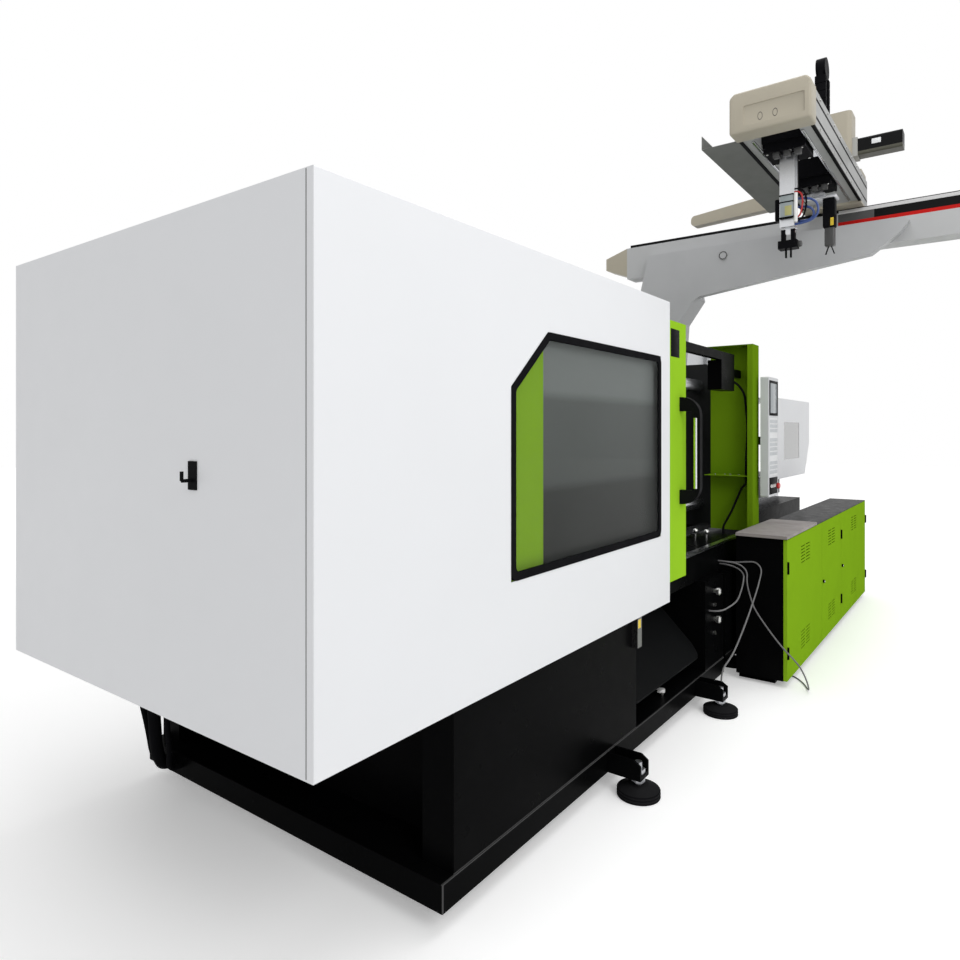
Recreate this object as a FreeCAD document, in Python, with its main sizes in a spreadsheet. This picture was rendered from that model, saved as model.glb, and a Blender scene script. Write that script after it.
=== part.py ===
"""Injection moulding machine with a take-out robot.

Every dimension is in millimetres and is measured from the machine's own datum: X = 0 is the clamp end of the
white housing and runs towards the injection end, Y = 0 is the centreline with the operator at -Y, and Z = 0
is the floor. Each sub-part is shifted by datum_x and datum_y, which puts the origin under the middle of the
whole machine.
"""
import FreeCAD, Part
import math
import os
import re
import Sketcher

os.makedirs("parts", exist_ok=True)

SIZES = {
    # origin
    "datum_x": -3230.5, "datum_y": 531.5,
    # general fits
    "seat_gap": 0.3, "running_gap": 0.05, "sheet": 3,
    # clamp bed
    "bed_start": 567, "bed_inset": 34.5, "bed_side_depth": 126, "bay_start": 1882, "bay_end": 2801,
    "plinth_margin": 60, "plinth_end": 3116, "plinth_inset": 30, "plinth_low": 70, "plinth_top": 157,
    "plinth_wall": 10, "beam_low": 655, "beam_top": 810, "beam_inset": 81.5, "beam_inner": 385,
    "beam_end": 4300, "cross_wall": 20, "inboard_foot_x": 750, "inboard_foot_y": 600,
    # levelling feet
    "pad_radius": 87, "pad_height": 48, "pad_rim": 30, "pad_neck": 42, "foot_near_x": 1620,
    "foot_far_x": 2665, "foot_offset": 123.5, "bracket_width": 84, "bracket_reach": 150,
    "bracket_low": 76, "bracket_plate": 18, "bracket_toe": 137, "stud_radius": 15, "stud_top": 140,
    "nut_radius": 27, "nut_height": 18, "inboard_plate": 200,
    # chute, valves and small fittings in the bay
    "chute_low": 240, "chute_nose": 800, "chute_top": 640, "chute_back": 395, "chute_round": 70,
    "chute_sheet": 6,
    "valve_x": 2950, "valve_low": 420, "valve_pitch": 160, "valve_radius": 22, "valve_reach": 42,
    "drain_x": 2320, "drain_y": 767, "drain_pin": 8, "drain_height": 26, "lever_span": 86,
    "lever_width": 16, "lever_hub": 14, "lever_thick": 8,
    "limit_box_width": 44, "limit_box_depth": 28, "limit_box_low": 530, "limit_box_gap": 2,
    "knob_x": 3270, "knob_y": 600, "knob_radius": 17, "knob_height": 58, "knob_pitch": 70, "knob_stem": 6,
    # white housing
    "housing_length": 2198, "housing_half": 856.5, "housing_low": 667, "housing_top": 2124,
    "cover_fold": 28, "cover_skin": 2, "cover_gap": 0.5, "cover_round": 3, "ledge_thick": 30,
    "window_width": 1262, "window_margin": 112, "window_low": 1000, "window_top": 1850,
    "window_slope_x": 234, "window_slope_z": 205, "window_round": 36, "seal_width": 28, "seal_proud": 2,
    "seal_depth": 10, "pane_thick": 5,
    "hook_y": 350, "hook_low": 1335, "hook_height": 80, "hook_width": 40, "hook_plate": 4,
    "hook_reach": 35, "hook_wire": 5, "hook_rise": 26,
    # clamp unit
    "clamp_height": 1400, "tie_pitch": 420, "tie_pitch_y": 360, "tie_radius": 50,
    "platen_half": 520, "platen_chamfer": 90, "platen_top": 1980,
    "rear_platen_start": 700, "rear_platen_thick": 250, "tie_overhang": 60, "tie_nut_radius": 82,
    "cylinder_radius": 260, "cylinder_length": 540, "cylinder_end": 60, "ram_radius": 110,
    "ram_flange": 185, "ram_flange_thick": 50, "ram_start": 250,
    "moving_platen_start": 2550, "moving_platen_thick": 300, "moving_platen_drop": 60,
    "fixed_platen_start": 3970, "fixed_platen_thick": 250,
    "way_start": 1950, "way_height": 20, "way_inner": 400, "way_outer": 540, "shoe_overhang": 70,
    "shoe_height": 50,
    "mould_hole_y": 210, "mould_hole_near": 210, "mould_hole_far": 420, "mould_hole_radius": 8,
    "mould_hole_depth": 45, "locating_radius": 80, "locating_depth": 30, "nozzle_bore": 60,
    "ejector_radius": 35, "ejector_disc": 120, "ejector_disc_thick": 30, "ejector_cavity": 150,
    "ejector_cavity_depth": 175,
    # gates
    "gate_start": 840, "gate_end": 2493, "gate_low": 745, "gate_top": 2050, "gate_inset": 30.5,
    "gate_depth": 40, "gate_left_stile": 235, "gate_right_stile": 350, "gate_bottom_rail": 205,
    "gate_top_rail": 170, "gate_travel": 1100, "gate_skin": 2, "gate_pane_lap": 15,
    "handle_x": 2420, "handle_width": 36, "handle_low": 1124, "handle_height": 546, "handle_reach": 106,
    "handle_end": 72, "handle_bend": 95, "handle_rim": 9, "grip_low": 1205, "grip_high": 1563,
    "grip_radius": 13,
    "rail_start": 620, "rail_end": 3450, "rail_low": 1930, "rail_height": 50, "rail_depth": 36,
    "rail_post": 40, "track_end": 3735, "track_height": 15,
    "switch_start": 3200, "switch_low": 1750, "switch_depth": 85, "switch_arm_low": 1850,
    "switch_arm": 50,
    # green platen guards
    "guard_start": 3600, "guard_width": 140, "guard_proud": 0.5, "guard_low": 575, "guard_top": 2060,
    "guard_flange": 34, "guard_inner": 540, "guard_shelf": 1200, "guard_bracket": 60,
    # injection base
    "base_start": 3160, "base_end": 6100, "base_low": 130, "base_top": 865, "base_half": 600,
    "base_foot_x": 4500, "base_foot_y": 450, "base_foot_end": 5900, "base_leg_x": 3500,
    # electric cabinet
    "cabinet_start": 3240, "cabinet_end": 6110, "cabinet_front": 1149, "cabinet_back": 860,
    "cabinet_low": 40, "cabinet_top": 865, "cabinet_wall": 12, "cabinet_toe": 60,
    "door_split_one": 4220, "door_split_two": 4930, "door_depth": 20, "door_gap": 2, "door_skin": 3,
    "slot_length": 110, "slot_height": 6, "slot_pitch": 20, "slot_rows": 6, "slot_low": 105,
    "slot_drop": 90, "slot_columns": 2, "slot_step": 135, "hinge_pin": 6, "hinge_length": 70,
    "hinge_inset": 130, "door_seat": 0.9, "lock_radius": 11,
    "lock_reach": 12, "board_end": 4030, "board_thick": 18, "board_lap": 40, "top_sheet": 4,
    # injection unit
    "unit_rail_y": 380, "unit_rail_width": 80, "unit_rail_height": 40, "unit_rail_start": 4450,
    "unit_start": 5000, "unit_end": 6050, "unit_half": 430, "unit_deck": 1100, "throat_start": 5150,
    "throat_end": 5450, "throat_half": 230, "throat_top": 1600,
    "barrel_radius": 75, "barrel_front": 4490, "nozzle_tip": 4230, "nozzle_radius": 38,
    "nozzle_hole": 8, "screw_radius": 28, "screw_start": 4530, "band_thick": 13, "band_width": 120,
    "band_pitch": 158, "band_start": 4515, "band_count": 4,
    "hopper_x": 5300, "hopper_neck": 60, "hopper_radius": 200, "hopper_cone_low": 1680,
    "hopper_cone_top": 1900, "hopper_top": 2225,
    "drive_start": 5530, "drive_end": 5800, "drive_half": 190, "drive_top": 1600,
    "shroud_start": 5130, "shroud_end": 6500, "shroud_half": 600, "shroud_low": 1080,
    "shroud_top": 1780, "shroud_chamfer": 190, "shroud_window_start": 5500,
    "shroud_window_end": 6070, "shroud_window_low": 1240, "shroud_window_top": 1575,
    "shroud_hole": 225,
    # operator panel
    "panel_start": 3690, "panel_low": 1065, "panel_top": 1850, "panel_depth": 50, "panel_end": 3937,
    "panel_turn": 600,
    "panel_pin_x": 3925, "panel_pin_y": 865, "panel_pin": 12, "panel_knuckle": 16,
    "panel_arm_low": 1402, "panel_arm_height": 56, "panel_knuckle_height": 48, "panel_round": 12,
    "stop_x": 3885, "stop_z": 1130, "stop_radius": 20, "stop_stem": 8, "stop_travel": 6,
    "stop_proud": 2,
    # take-out robot
    "robot_start": 3975, "bracket_thick": 65, "robot_end": 4200, "beam_z_low": 2690,
    "beam_z_top": 2930, "beam_y_end": 2100, "beam_y_start": 220, "beam_cap_length": 180,
    "hub_y": 550, "hub_z": 2750, "hub_radius": 26, "robot_rail": 25,
    "beam_groove": 12, "beam_groove_edge": 70, "rail_inset": 20, "beam_cap_low": 20,
    "beam_cap_slope_low": 90, "beam_cap_slope_top": 60, "carriage_front": 25, "carriage_back": 60,
    "cross_start": 2500, "cross_y": 1251.5, "cross_half": 176.5, "cross_low": 2970,
    "cross_top": 3150, "cross_rail": 70, "cross_cap": 120, "cross_cap_lap": 12,
    "cross_cap_bevel": 60, "cross_cap_recess": 8, "tray_end": 3900, "tray_width": 190,
    "tray_flange": 70, "tray_drop": 40,
    "slide_height": 110, "slide_length": 230, "main_arm_x": 3490, "sub_arm_x": 2830, "arm_width": 72,
    "arm_groove": 10, "arm_groove_depth": 8,
    "arm_low": 2560, "arm_top": 3250, "guide_low": 2720, "guide_thick": 30, "main_arm_low": 2900,
    "main_arm_top": 3400, "tool_plate": 120, "tool_plate_thick": 15,
    "tool_hole": 4, "tool_pitch": 90,
    "main_guide_low": 2915, "wrist_z": 2539, "wrist_pin": 8, "gripper_half": 46, "gripper_low": 2490,
    "finger_width": 12, "finger_thick": 8, "finger_step": 12, "finger_length": 46, "jaw_height": 40,
    "jaw_half": 30, "cheek_half": 14, "cheek_inner": 14, "cheek_outer": 34, "cheek_rise": 12,
    "lug_half": 10, "lug_side": 12,
    "tower_x": 3960, "tower_length": 180, "tower_half": 120, "tower_low": 3170, "tower_top": 3565,
    "tower_round": 30, "servo_round": 12,
    "servo_z": 3330, "servo_half": 60, "servo_length": 280, "servo_flange": 30,
    "cover_x": 4120, "cover_wide": 80, "cover_tip_y": 263, "cover_tip_low": 3037, "cover_tip_thick": 75,
    "cover_root_low": 3079, "cover_root_thick": 119, "cover_tip_round": 30,
    "chain_top": 3630, "chain_link": 42, "chain_width": 50, "chain_thick": 34, "chain_offset": 170,
    "chain_side": 70, "chain_radius": 62, "chain_foot": 10, "chain_links": 9, "chain_pitch": 45.36,
    "spine_inset": 4,
    "root_back": 180, "root_front": 200, "waist_rise": 320, "waist_back": 140, "waist_front": 223,
    "neck_rise": 590, "neck_back": 78, "crown_rise": 140, "crown_back": 15, "arm_end_y": 1600,
    "tip_y": 1690, "tip_drop": 30, "tip_low_y": 1640, "tip_low_drop": 95, "belly_y": 1480,
    "belly_drop": 210, "elbow_y": 344, "elbow_drop": 357, "elbow_round": 120, "foot_neck": 60,
    "foot_front": 300,
    "hub_proud": 6,
    # cables and hoses
    "cable_radius": 4.5, "hose_radius": 24, "thin_hose_radius": 11, "guard_hose_radius": 7,
}

doc = FreeCAD.newDocument("InjectionMouldingMachine")
sheet = doc.addObject("Spreadsheet::Sheet", "Sizes")
for row, (size_name, size) in enumerate(SIZES.items(), 1):
    sheet.set(f"A{row}", size_name)
    sheet.set(f"B{row}", str(size))
    sheet.setAlias(f"B{row}", size_name)
doc.recompute()

NODES = []
PLANES = {"XY": ("XY_Plane", "z", 1), "XZ": ("XZ_Plane", "y", -1), "YZ": ("YZ_Plane", "x", 1)}
TURNS = {
    "x": FreeCAD.Rotation(FreeCAD.Vector(0, 1, 0), 90),
    "y": FreeCAD.Rotation(FreeCAD.Vector(1, 0, 0), -90),
    "z": FreeCAD.Rotation(),
}


def sized(text):
    """Point each named size in an expression at its cell in the sheet."""
    return re.sub(r"[a-z][a-z_]*[a-z]", lambda m: "Sizes." + m[0] if m[0] in SIZES else m[0], str(text))


def bind(item, **settings):
    """Bind an object's properties to expressions of named sizes."""
    for name, text in settings.items():
        item.setExpression(name.replace("_", "."), sized(text))


def place(item, **where):
    """Bind the position of an object."""
    for axis, text in where.items():
        item.setExpression("Placement.Base." + axis, sized(text))


def box(x, y, z):
    """A block between two limits on each axis."""
    item = doc.addObject("Part::Box", "Block")
    bind(item, Length=f"({x[1]}) - ({x[0]})", Width=f"({y[1]}) - ({y[0]})", Height=f"({z[1]}) - ({z[0]})")
    place(item, x=x[0], y=y[0], z=z[0])
    return item


def across(axis, centre):
    """Name the two coordinates of an axis line."""
    return dict(zip([name for name in "xyz" if name != axis], centre))


def rod(axis, centre, radius, along):
    """A round bar along an axis."""
    item = doc.addObject("Part::Cylinder", "Rod")
    item.Placement.Rotation = TURNS[axis]
    bind(item, Radius=radius, Height=f"({along[1]}) - ({along[0]})")
    place(item, **across(axis, centre), **{axis: along[0]})
    return item


def hexagon(axis, centre, radius, along):
    """A six-sided bar along an axis."""
    item = doc.addObject("Part::Prism", "Hexagon")
    item.Polygon = 6
    item.Placement.Rotation = TURNS[axis]
    bind(item, Circumradius=radius, Height=f"({along[1]}) - ({along[0]})")
    place(item, **across(axis, centre), **{axis: along[0]})
    return item


def fuse(*items):
    """Weld pieces into one solid."""
    item = doc.addObject("Part::MultiFuse", "Weldment")
    item.Shapes = list(items)
    item.Refine = True
    return item


def cut(base, *tools):
    """Take tools away from a piece."""
    item = doc.addObject("Part::Cut", "Cut")
    item.Base = base
    item.Tool = tools[0] if len(tools) == 1 else fuse(*tools)
    item.Refine = True
    return item


def mirrored(item):
    """The same piece on the other side of the centreline."""
    copy = doc.addObject("Part::Mirroring", "Mirrored")
    copy.Source = item
    copy.Normal = (0, 1, 0)
    return copy


def moved(item, **shift):
    """The same piece again, at another place."""
    copy = doc.addObject("Part::Compound", "Copy")
    copy.Links = [item]
    place(copy, **shift)
    return copy


def node(label, *items):
    """Finish a sub-part: group its solids and shift it from the machine's datum to the origin."""
    item = doc.addObject("Part::Compound", label)
    item.Links = list(items)
    item.Label = label
    place(item, x="datum_x", y="datum_y")
    NODES.append(item)
    return item


def outline(body, plane, points, circles=()):
    """A closed sketch whose corners are bound to named sizes."""
    sketch = body.newObject("Sketcher::SketchObject", "Outline")
    role = PLANES[plane][0]
    sketch.AttachmentSupport = [(next(f for f in body.Origin.OriginFeatures if f.Role == role), "")]
    sketch.MapMode = "FlatFace"
    count = len(points)
    corners = [FreeCAD.Vector(math.cos(2 * math.pi * i / count), math.sin(2 * math.pi * i / count), 0)
               for i in range(count)]
    for i in range(count):
        sketch.addGeometry(Part.LineSegment(corners[i], corners[(i + 1) % count]))
    for i in range(count):
        sketch.addConstraint(Sketcher.Constraint("Coincident", i, 2, (i + 1) % count, 1))
    for i, point in enumerate(points):
        for kind, text in zip(("DistanceX", "DistanceY"), point):
            number = sketch.addConstraint(Sketcher.Constraint(kind, -1, 1, i, 1, 1.0))
            sketch.setExpression(f"Constraints[{number}]", sized(text))
    for centre, radius in circles:
        index = sketch.addGeometry(Part.Circle(FreeCAD.Vector(0, 0, 0), FreeCAD.Vector(0, 0, 1), 1))
        number = sketch.addConstraint(Sketcher.Constraint("Radius", index, 1.0))
        sketch.setExpression(f"Constraints[{number}]", sized(radius))
        for kind, text in zip(("DistanceX", "DistanceY"), centre):
            number = sketch.addConstraint(Sketcher.Constraint(kind, -1, 1, index, 3, 1.0))
            sketch.setExpression(f"Constraints[{number}]", sized(text))
    return sketch


def plate(plane, points, along, circles=()):
    """A body padded from a closed outline, with round holes through it."""
    body = doc.addObject("PartDesign::Body", "Plate")
    pad = body.newObject("PartDesign::Pad", "Pad")
    pad.Profile = outline(body, plane, points, circles)
    _, axis, sign = PLANES[plane]
    pad.Reversed = sign < 0
    bind(pad, Length=f"({along[1]}) - ({along[0]})")
    place(body, **{axis: along[0]})
    doc.recompute()
    return body


def round_edges(body, radius, test):
    """Round the edges of a body that a test picks."""
    tip = body.Tip
    names = [f"Edge{number}" for number, edge in enumerate(tip.Shape.Edges, 1) if test(edge)]
    feature = body.newObject("PartDesign::Fillet", "Round")
    feature.Base = (tip, names)
    bind(feature, Radius=radius)
    doc.recompute()
    return feature


def rounded(body, radius, axis, test=lambda middle: True):
    """Round the straight edges along an axis that a test picks by their middle."""
    direction = FreeCAD.Vector(*[float(name == axis) for name in "xyz"])

    def along_axis(edge):
        straight = edge.Curve.TypeId == "Part::GeomLine"
        return straight and abs(edge.Curve.Direction.dot(direction)) > 0.999 and test(edge.CenterOfMass)

    return round_edges(body, radius, along_axis)


def turned(axis, centre, profile):
    """A body revolved about an axis, from (along, radius) points."""
    body = doc.addObject("PartDesign::Body", "Turned")
    plane, line, swap = {"x": ("XY", "H_Axis", False), "y": ("XY", "V_Axis", True),
                         "z": ("XZ", "V_Axis", True)}[axis]
    points = [(radius, along) if swap else (along, radius) for along, radius in profile]
    sketch = outline(body, plane, points)
    feature = body.newObject("PartDesign::Revolution", "Turn")
    feature.Profile = sketch
    feature.ReferenceAxis = (sketch, [line])
    feature.Angle = 360
    place(body, **across(axis, centre))
    doc.recompute()
    return body


def rectangle(low, high):
    """Corners of a rectangle from its low and high corners."""
    return [(low[0], low[1]), (high[0], low[1]), (high[0], high[1]), (low[0], high[1])]


def tube(points, radius):
    """A cable or hose along a route: straight runs joined by tangent arcs, swept by a circle."""
    places = [FreeCAD.Vector(*point) for point in points]
    edges, start, arcs = [], places[0], []
    for before, corner, after in zip(places, places[1:], places[2:]):
        into, out = corner - before, after - corner
        half_turn = into.getAngle(out) / 2
        arc_radius = 0.45 * min(into.Length, out.Length) / math.tan(half_turn)
        setback = arc_radius * math.tan(half_turn)
        into.normalize()
        out.normalize()
        begin, end = corner - into * setback, corner + out * setback
        centre_way = (out - into).normalize()
        middle = corner + centre_way * (arc_radius / math.cos(half_turn) - arc_radius)
        edges += [Part.LineSegment(start, begin).toShape(), Part.Arc(begin, middle, end).toShape()]
        arcs.append(arc_radius)
        start = end
    edges.append(Part.LineSegment(start, places[-1]).toShape())
    path = Part.Wire(edges)
    section = Part.Wire(Part.makeCircle(radius, places[0], places[1] - places[0]))
    item = doc.addObject("Part::Feature", "Tube")
    item.Shape = path.makePipeShell([section], True, False)
    drift = item.Shape.Volume / (math.pi * radius ** 2 * path.Length) - 1
    print(f"tube of {path.Length:.0f} mm: least radius {min(arcs):.0f} mm, volume off by {drift:.2%}")
    return item


# Places that several pieces share, as expressions on the sheet
PLINTH_SIDE = "(housing_half - plinth_inset)"
BED_SIDE = "(housing_half - bed_inset)"
BEAM_SIDE = "(housing_half - beam_inset)"
GATE_SIDE = "(housing_half - gate_inset)"
GUARD_SIDE = "(housing_half + guard_proud)"
GUARD_BACK = "(guard_start + guard_width)"
WINDOW_NEAR = "(housing_length - window_margin - window_width)"
WINDOW_FAR = "(housing_length - window_margin)"


# Clamp bed -------------------------------------------------------------------------------------------------

def plinth():
    """The plates of a tray turned upside down, with a plate inside for the inboard feet."""
    start = "bed_start - plinth_margin"
    half, under = PLINTH_SIDE, "plinth_top - plinth_wall"
    side = box((start, "plinth_end"), (f"-{half}", f"plinth_wall - {half}"), ("plinth_low", under))
    ends = [box((low, f"{low} + plinth_wall"), (f"plinth_wall - {half}", f"{half} - plinth_wall"),
                ("plinth_low", under))
            for low in (start, "plinth_end - plinth_wall")]
    seat = box(("inboard_foot_x - inboard_plate / 2", "inboard_foot_x + inboard_plate / 2"),
               (f"plinth_wall - {half}", f"{half} - plinth_wall"),
               ("bracket_low", "bracket_low + bracket_plate"))
    hole = rod("z", FEET[2], "stud_radius + seat_gap", ("0", under))
    top = box((start, "plinth_end"), (f"-{half}", half), (under, "plinth_top"))
    return [top, *both_sides([side]), *ends, cut(seat, hole, mirrored(hole))]


def side_box(start, end):
    """One of the deep box members that carry the bed, at the operator side."""
    return box((start, end), (f"-{BED_SIDE}", f"bed_side_depth - {BED_SIDE}"), ("plinth_top", "beam_low"))


def cross_panel(start):
    """A panel across the bed, between the side boxes."""
    return box((start, f"{start} + cross_wall"),
               (f"bed_side_depth - {BED_SIDE}", f"{BED_SIDE} - bed_side_depth"),
               ("plinth_top", "beam_low"))


def foot_bracket(foot_x):
    """A channel bracket that reaches out from the plinth to a levelling foot: a floor and two cheeks."""
    near = f"-{PLINTH_SIDE}"
    tip = f"{near} - bracket_reach"
    cheeks = []
    for edge in ("-bracket_width / 2", "bracket_width / 2 - plinth_wall"):
        cheeks.append(plate("YZ", [(near, "bracket_low + bracket_plate"), (near, "plinth_top"),
                                   (f"{near} - bracket_reach * 0.8", "plinth_top"),
                                   (tip, "bracket_toe"), (tip, "bracket_low + bracket_plate")],
                            (f"{foot_x} + {edge}", f"{foot_x} + {edge} + plinth_wall")))
    floor = box((f"{foot_x} - bracket_width / 2", f"{foot_x} + bracket_width / 2"), (tip, near),
                ("bracket_low", "bracket_low + bracket_plate"))
    hole = rod("z", (foot_x, f"-{PLINTH_SIDE} - foot_offset"), "stud_radius + seat_gap",
               ("bracket_low - 1", "bracket_low + bracket_plate + 1"))
    return [cut(floor, hole), *cheeks]


FEET = [("foot_near_x", f"{PLINTH_SIDE} + foot_offset"), ("foot_far_x", f"{PLINTH_SIDE} + foot_offset"),
        ("inboard_foot_x", "inboard_foot_y"), ("base_leg_x", f"{BED_SIDE} - bed_side_depth / 2"),
        ("base_foot_x", "base_foot_y"), ("base_foot_end", "base_foot_y")]


def bed_frame():
    """The clamp bed's members, welded face to face: plinth, side boxes, beams, ledges and foot brackets."""
    beam = BEAM_SIDE
    half = [
        side_box("bed_start", "bay_start"), side_box("bay_end", "plinth_end"),
        box(("bed_start", "beam_end"), (f"-{beam}", "-beam_inner"), ("beam_low", "beam_top")),
        box(("cover_fold + seat_gap", "bed_start"), (f"-{beam}", "-beam_inner"),
            ("housing_low + cover_skin", "beam_top")),
        box(("cover_fold + seat_gap", "housing_length - cover_skin - seat_gap"),
            ("cover_skin + seat_gap - housing_half", f"-{beam}"),
            ("housing_low + cover_skin", "housing_low + cover_skin + ledge_thick")),
        *foot_bracket("foot_near_x"), *foot_bracket("foot_far_x")]
    across_bed = [
        cross_panel("bed_start + bed_side_depth"), cross_panel("bay_start - cross_wall"),
        cross_panel("bay_end"),
        box(("rear_platen_start", "rear_platen_start + rear_platen_thick"), ("-beam_inner", "beam_inner"),
            ("beam_low", "beam_top")),
        box(("fixed_platen_start", "beam_end"), ("-beam_inner", "beam_inner"), ("beam_low", "beam_top")),
        box(("bay_start", "bay_end"), ("-chute_back", "cross_wall - chute_back"), ("plinth_top", "beam_low"))]
    return [*plinth(), *both_sides(half), *across_bed]


def both_sides(items):
    """Pieces and their copies on the other side."""
    return [*items, *[mirrored(item) for item in items]]


def levelling_pads():
    """Round rubber-footed pads under every levelling bolt."""
    profile = [("0", "0"), ("0", "pad_radius"), ("pad_rim", "pad_radius"), ("pad_height", "pad_neck"),
               ("pad_height", "0")]
    return both_sides([turned("z", foot, profile) for foot in FEET])


def levelling_bolts():
    """Studs with a hexagon nut under and over the plate that they carry."""
    bolts = []
    for x, y in FEET:
        low = "base_low" if x in ("base_leg_x", "base_foot_x", "base_foot_end") else "bracket_low"
        stud = [rod("z", (x, y), "stud_radius", ("pad_height", "stud_top" if low == "bracket_low" else low)),
                hexagon("z", (x, y), "nut_radius", (f"{low} - nut_height", low))]
        if low == "bracket_low":
            stud.append(hexagon("z", (x, y), "nut_radius",
                                ("bracket_low + bracket_plate", "bracket_low + bracket_plate + nut_height")))
        bolts.append(fuse(*stud))
    return both_sides(bolts)


def slideways():
    """Hardened strips on the beams that the moving platen's shoes ride on."""
    return both_sides([box(("way_start", "fixed_platen_start - seat_gap"), ("-way_outer", "-way_inner"),
                           ("beam_top", "beam_top + way_height"))])


def drop_chute():
    """A sloping plate in the bay that leads down to the operator side, with its front corners rounded."""
    x = ("bay_start + seat_gap", "bay_end - seat_gap")
    back = "-chute_back - seat_gap"
    upright = "chute_sheet * 1.4"
    slope = plate("YZ", [("-chute_nose", "chute_low"), (back, "chute_top"),
                         (back, f"chute_top + {upright}"), ("-chute_nose", f"chute_low + {upright}")], x)
    plan = plate("XY", rectangle((x[0], "-chute_nose"), (x[1], back)), ("chute_low - 1", "beam_low"))
    rounded(plan, "chute_round", "z", lambda middle: middle.y < -SIZES["chute_nose"] + 1)
    common = doc.addObject("Part::MultiCommon", "Chute")
    common.Shapes = [slope, plan]
    return [common]


def drain_valves():
    """Two taps with their blanking screws on the post, and the stub that the drain lever turns on."""
    items = []
    wall = f"-{BED_SIDE}"
    for step in (0, 1):
        height = f"valve_low + {step} * valve_pitch"
        items.append(turned("y", ("valve_x", height), [
            (wall, "0"), (wall, "valve_radius * 0.6"), (f"{wall} - valve_reach * 0.4", "valve_radius * 0.6"),
            (f"{wall} - valve_reach * 0.4", "valve_radius"), (f"{wall} - valve_reach * 0.8", "valve_radius"),
            (f"{wall} - valve_reach", "valve_radius * 0.5"), (f"{wall} - valve_reach", "0")]))
        items.append(rod("y", ("valve_x", f"{height} - valve_pitch / 2"), "valve_radius / 2",
                         (f"{wall} - valve_reach / 4", wall)))
    items.append(rod("z", ("drain_x", "-drain_y"), "drain_pin", ("plinth_top", "plinth_top + drain_height")))
    return items


def drain_lever():
    """A two-winged tap handle that turns on its stub."""
    base = "plinth_top + drain_height - lever_thick - seat_gap"
    top = "plinth_top + drain_height + lever_thick"
    hub = rod("z", ("drain_x", "-drain_y"), "lever_hub", (base, top))
    wings = [box(("drain_x - lever_span / 2", "drain_x"),
                 ("-drain_y - lever_width / 2", "lever_width / 2 - drain_y"), (f"{top} - lever_thick", top)),
             box(("drain_x - lever_width / 2", "drain_x + lever_width / 2"),
                 ("-drain_y", "lever_span / 2 - drain_y"), (f"{top} - lever_thick", top))]
    socket = rod("z", ("drain_x", "-drain_y"), "drain_pin + running_gap",
                 (f"{base} - 1", "plinth_top + drain_height + seat_gap"))
    return [cut(fuse(hub, *wings), socket)]


def limit_box():
    """A small switch box that hangs on the side box, just under the housing."""
    end = "bay_start - limit_box_gap"
    return [box((f"{end} - limit_box_width", end), (f"-{BED_SIDE} - limit_box_depth", f"-{BED_SIDE}"),
                ("limit_box_low", "housing_low - limit_box_gap"))]


def latch_knobs():
    """Two white ball knobs on the beam, in front of the fixed platen."""
    items = []
    for step in (0, 1):
        ball = doc.addObject("Part::Sphere", "Ball")
        bind(ball, Radius="knob_radius")
        centre = ("knob_x", f"({step} - 1) * knob_pitch - knob_y")
        place(ball, x=centre[0], y=centre[1], z="beam_top + knob_height")
        items.append(fuse(ball, rod("z", centre, "knob_stem", ("beam_top", "beam_top + knob_height"))))
    return items


# White housing ---------------------------------------------------------------------------------------------

WINDOW = [(WINDOW_NEAR, "window_low"), (WINDOW_FAR, "window_low"), (WINDOW_FAR, "window_top"),
          (f"{WINDOW_NEAR} + window_slope_x", "window_top"), (WINDOW_NEAR, "window_top - window_slope_z")]


def inset(points, distance):
    """The window's outline, drawn in by a distance."""
    (left, low), (right, _), (_, top), (slope_x, _), (_, slope_z) = points
    return [(f"{left} + {distance}", f"{low} + {distance}"),
            (f"{right} - ({distance})", f"{low} + {distance}"),
            (f"{right} - ({distance})", f"{top} - ({distance})"),
            (f"{slope_x} + ({distance}) * 0.45", f"{top} - ({distance})"),
            (f"{left} + {distance}", f"{slope_z} - ({distance}) * 0.45")]


def pan(x, z, front, depth, skin, window=None):
    """A folded sheet pan that faces the operator: a flat front with its four edges turned back."""
    body = plate("XZ", rectangle((x[0], z[0]), (x[1], z[1])), (front, f"{front} + {depth}"))
    inner = rectangle((f"{x[0]} + {skin}", f"{z[0]} + {skin}"), (f"{x[1]} - {skin}", f"{z[1]} - {skin}"))
    hollow = plate("XZ", inner, (f"{front} + {skin}", f"{front} + {depth} + 1"))
    tools = [hollow]
    if window:
        tools.append(plate("XZ", window, (f"{front} - 1", f"{front} + {depth} + 1")))
    return body, tools


def housing_side(window):
    """A side cover of the housing, with its outer edges slightly rounded."""
    body, tools = pan(("0", "housing_length"), ("housing_low", "housing_top"), "-housing_half", "cover_fold",
                      "cover_skin", window)
    front = body.Tip.Shape.BoundBox.YMin
    round_edges(body, "cover_round", lambda edge: edge.BoundBox.YMax < front + 1)
    return cut(body, *tools)


def housing_end_cover():
    """The end cover, a pan that sits between the turned-in edges of the side covers."""
    half = "housing_half - cover_fold - cover_gap"
    shell = box(("0", "cover_fold"), (f"-({half})", half), ("housing_low", "housing_top"))
    hollow = box(("cover_skin", "cover_fold + 1"), (f"cover_skin - ({half})", f"{half} - cover_skin"),
                 ("housing_low + cover_skin", "housing_top - cover_skin"))
    return [cut(shell, hollow)]


def housing_roof():
    """The roof pan, between the side covers and behind the end cover."""
    half = "housing_half - cover_fold - cover_gap"
    shell = box(("cover_fold + cover_gap", "housing_length"), (f"-({half})", half),
                ("housing_top - cover_fold", "housing_top"))
    hollow = box(("cover_fold + cover_gap + cover_skin", "housing_length - cover_skin"),
                 (f"cover_skin - ({half})", f"{half} - cover_skin"),
                 ("housing_top - cover_fold - 1", "housing_top - cover_skin"))
    return [cut(shell, hollow)]


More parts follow.
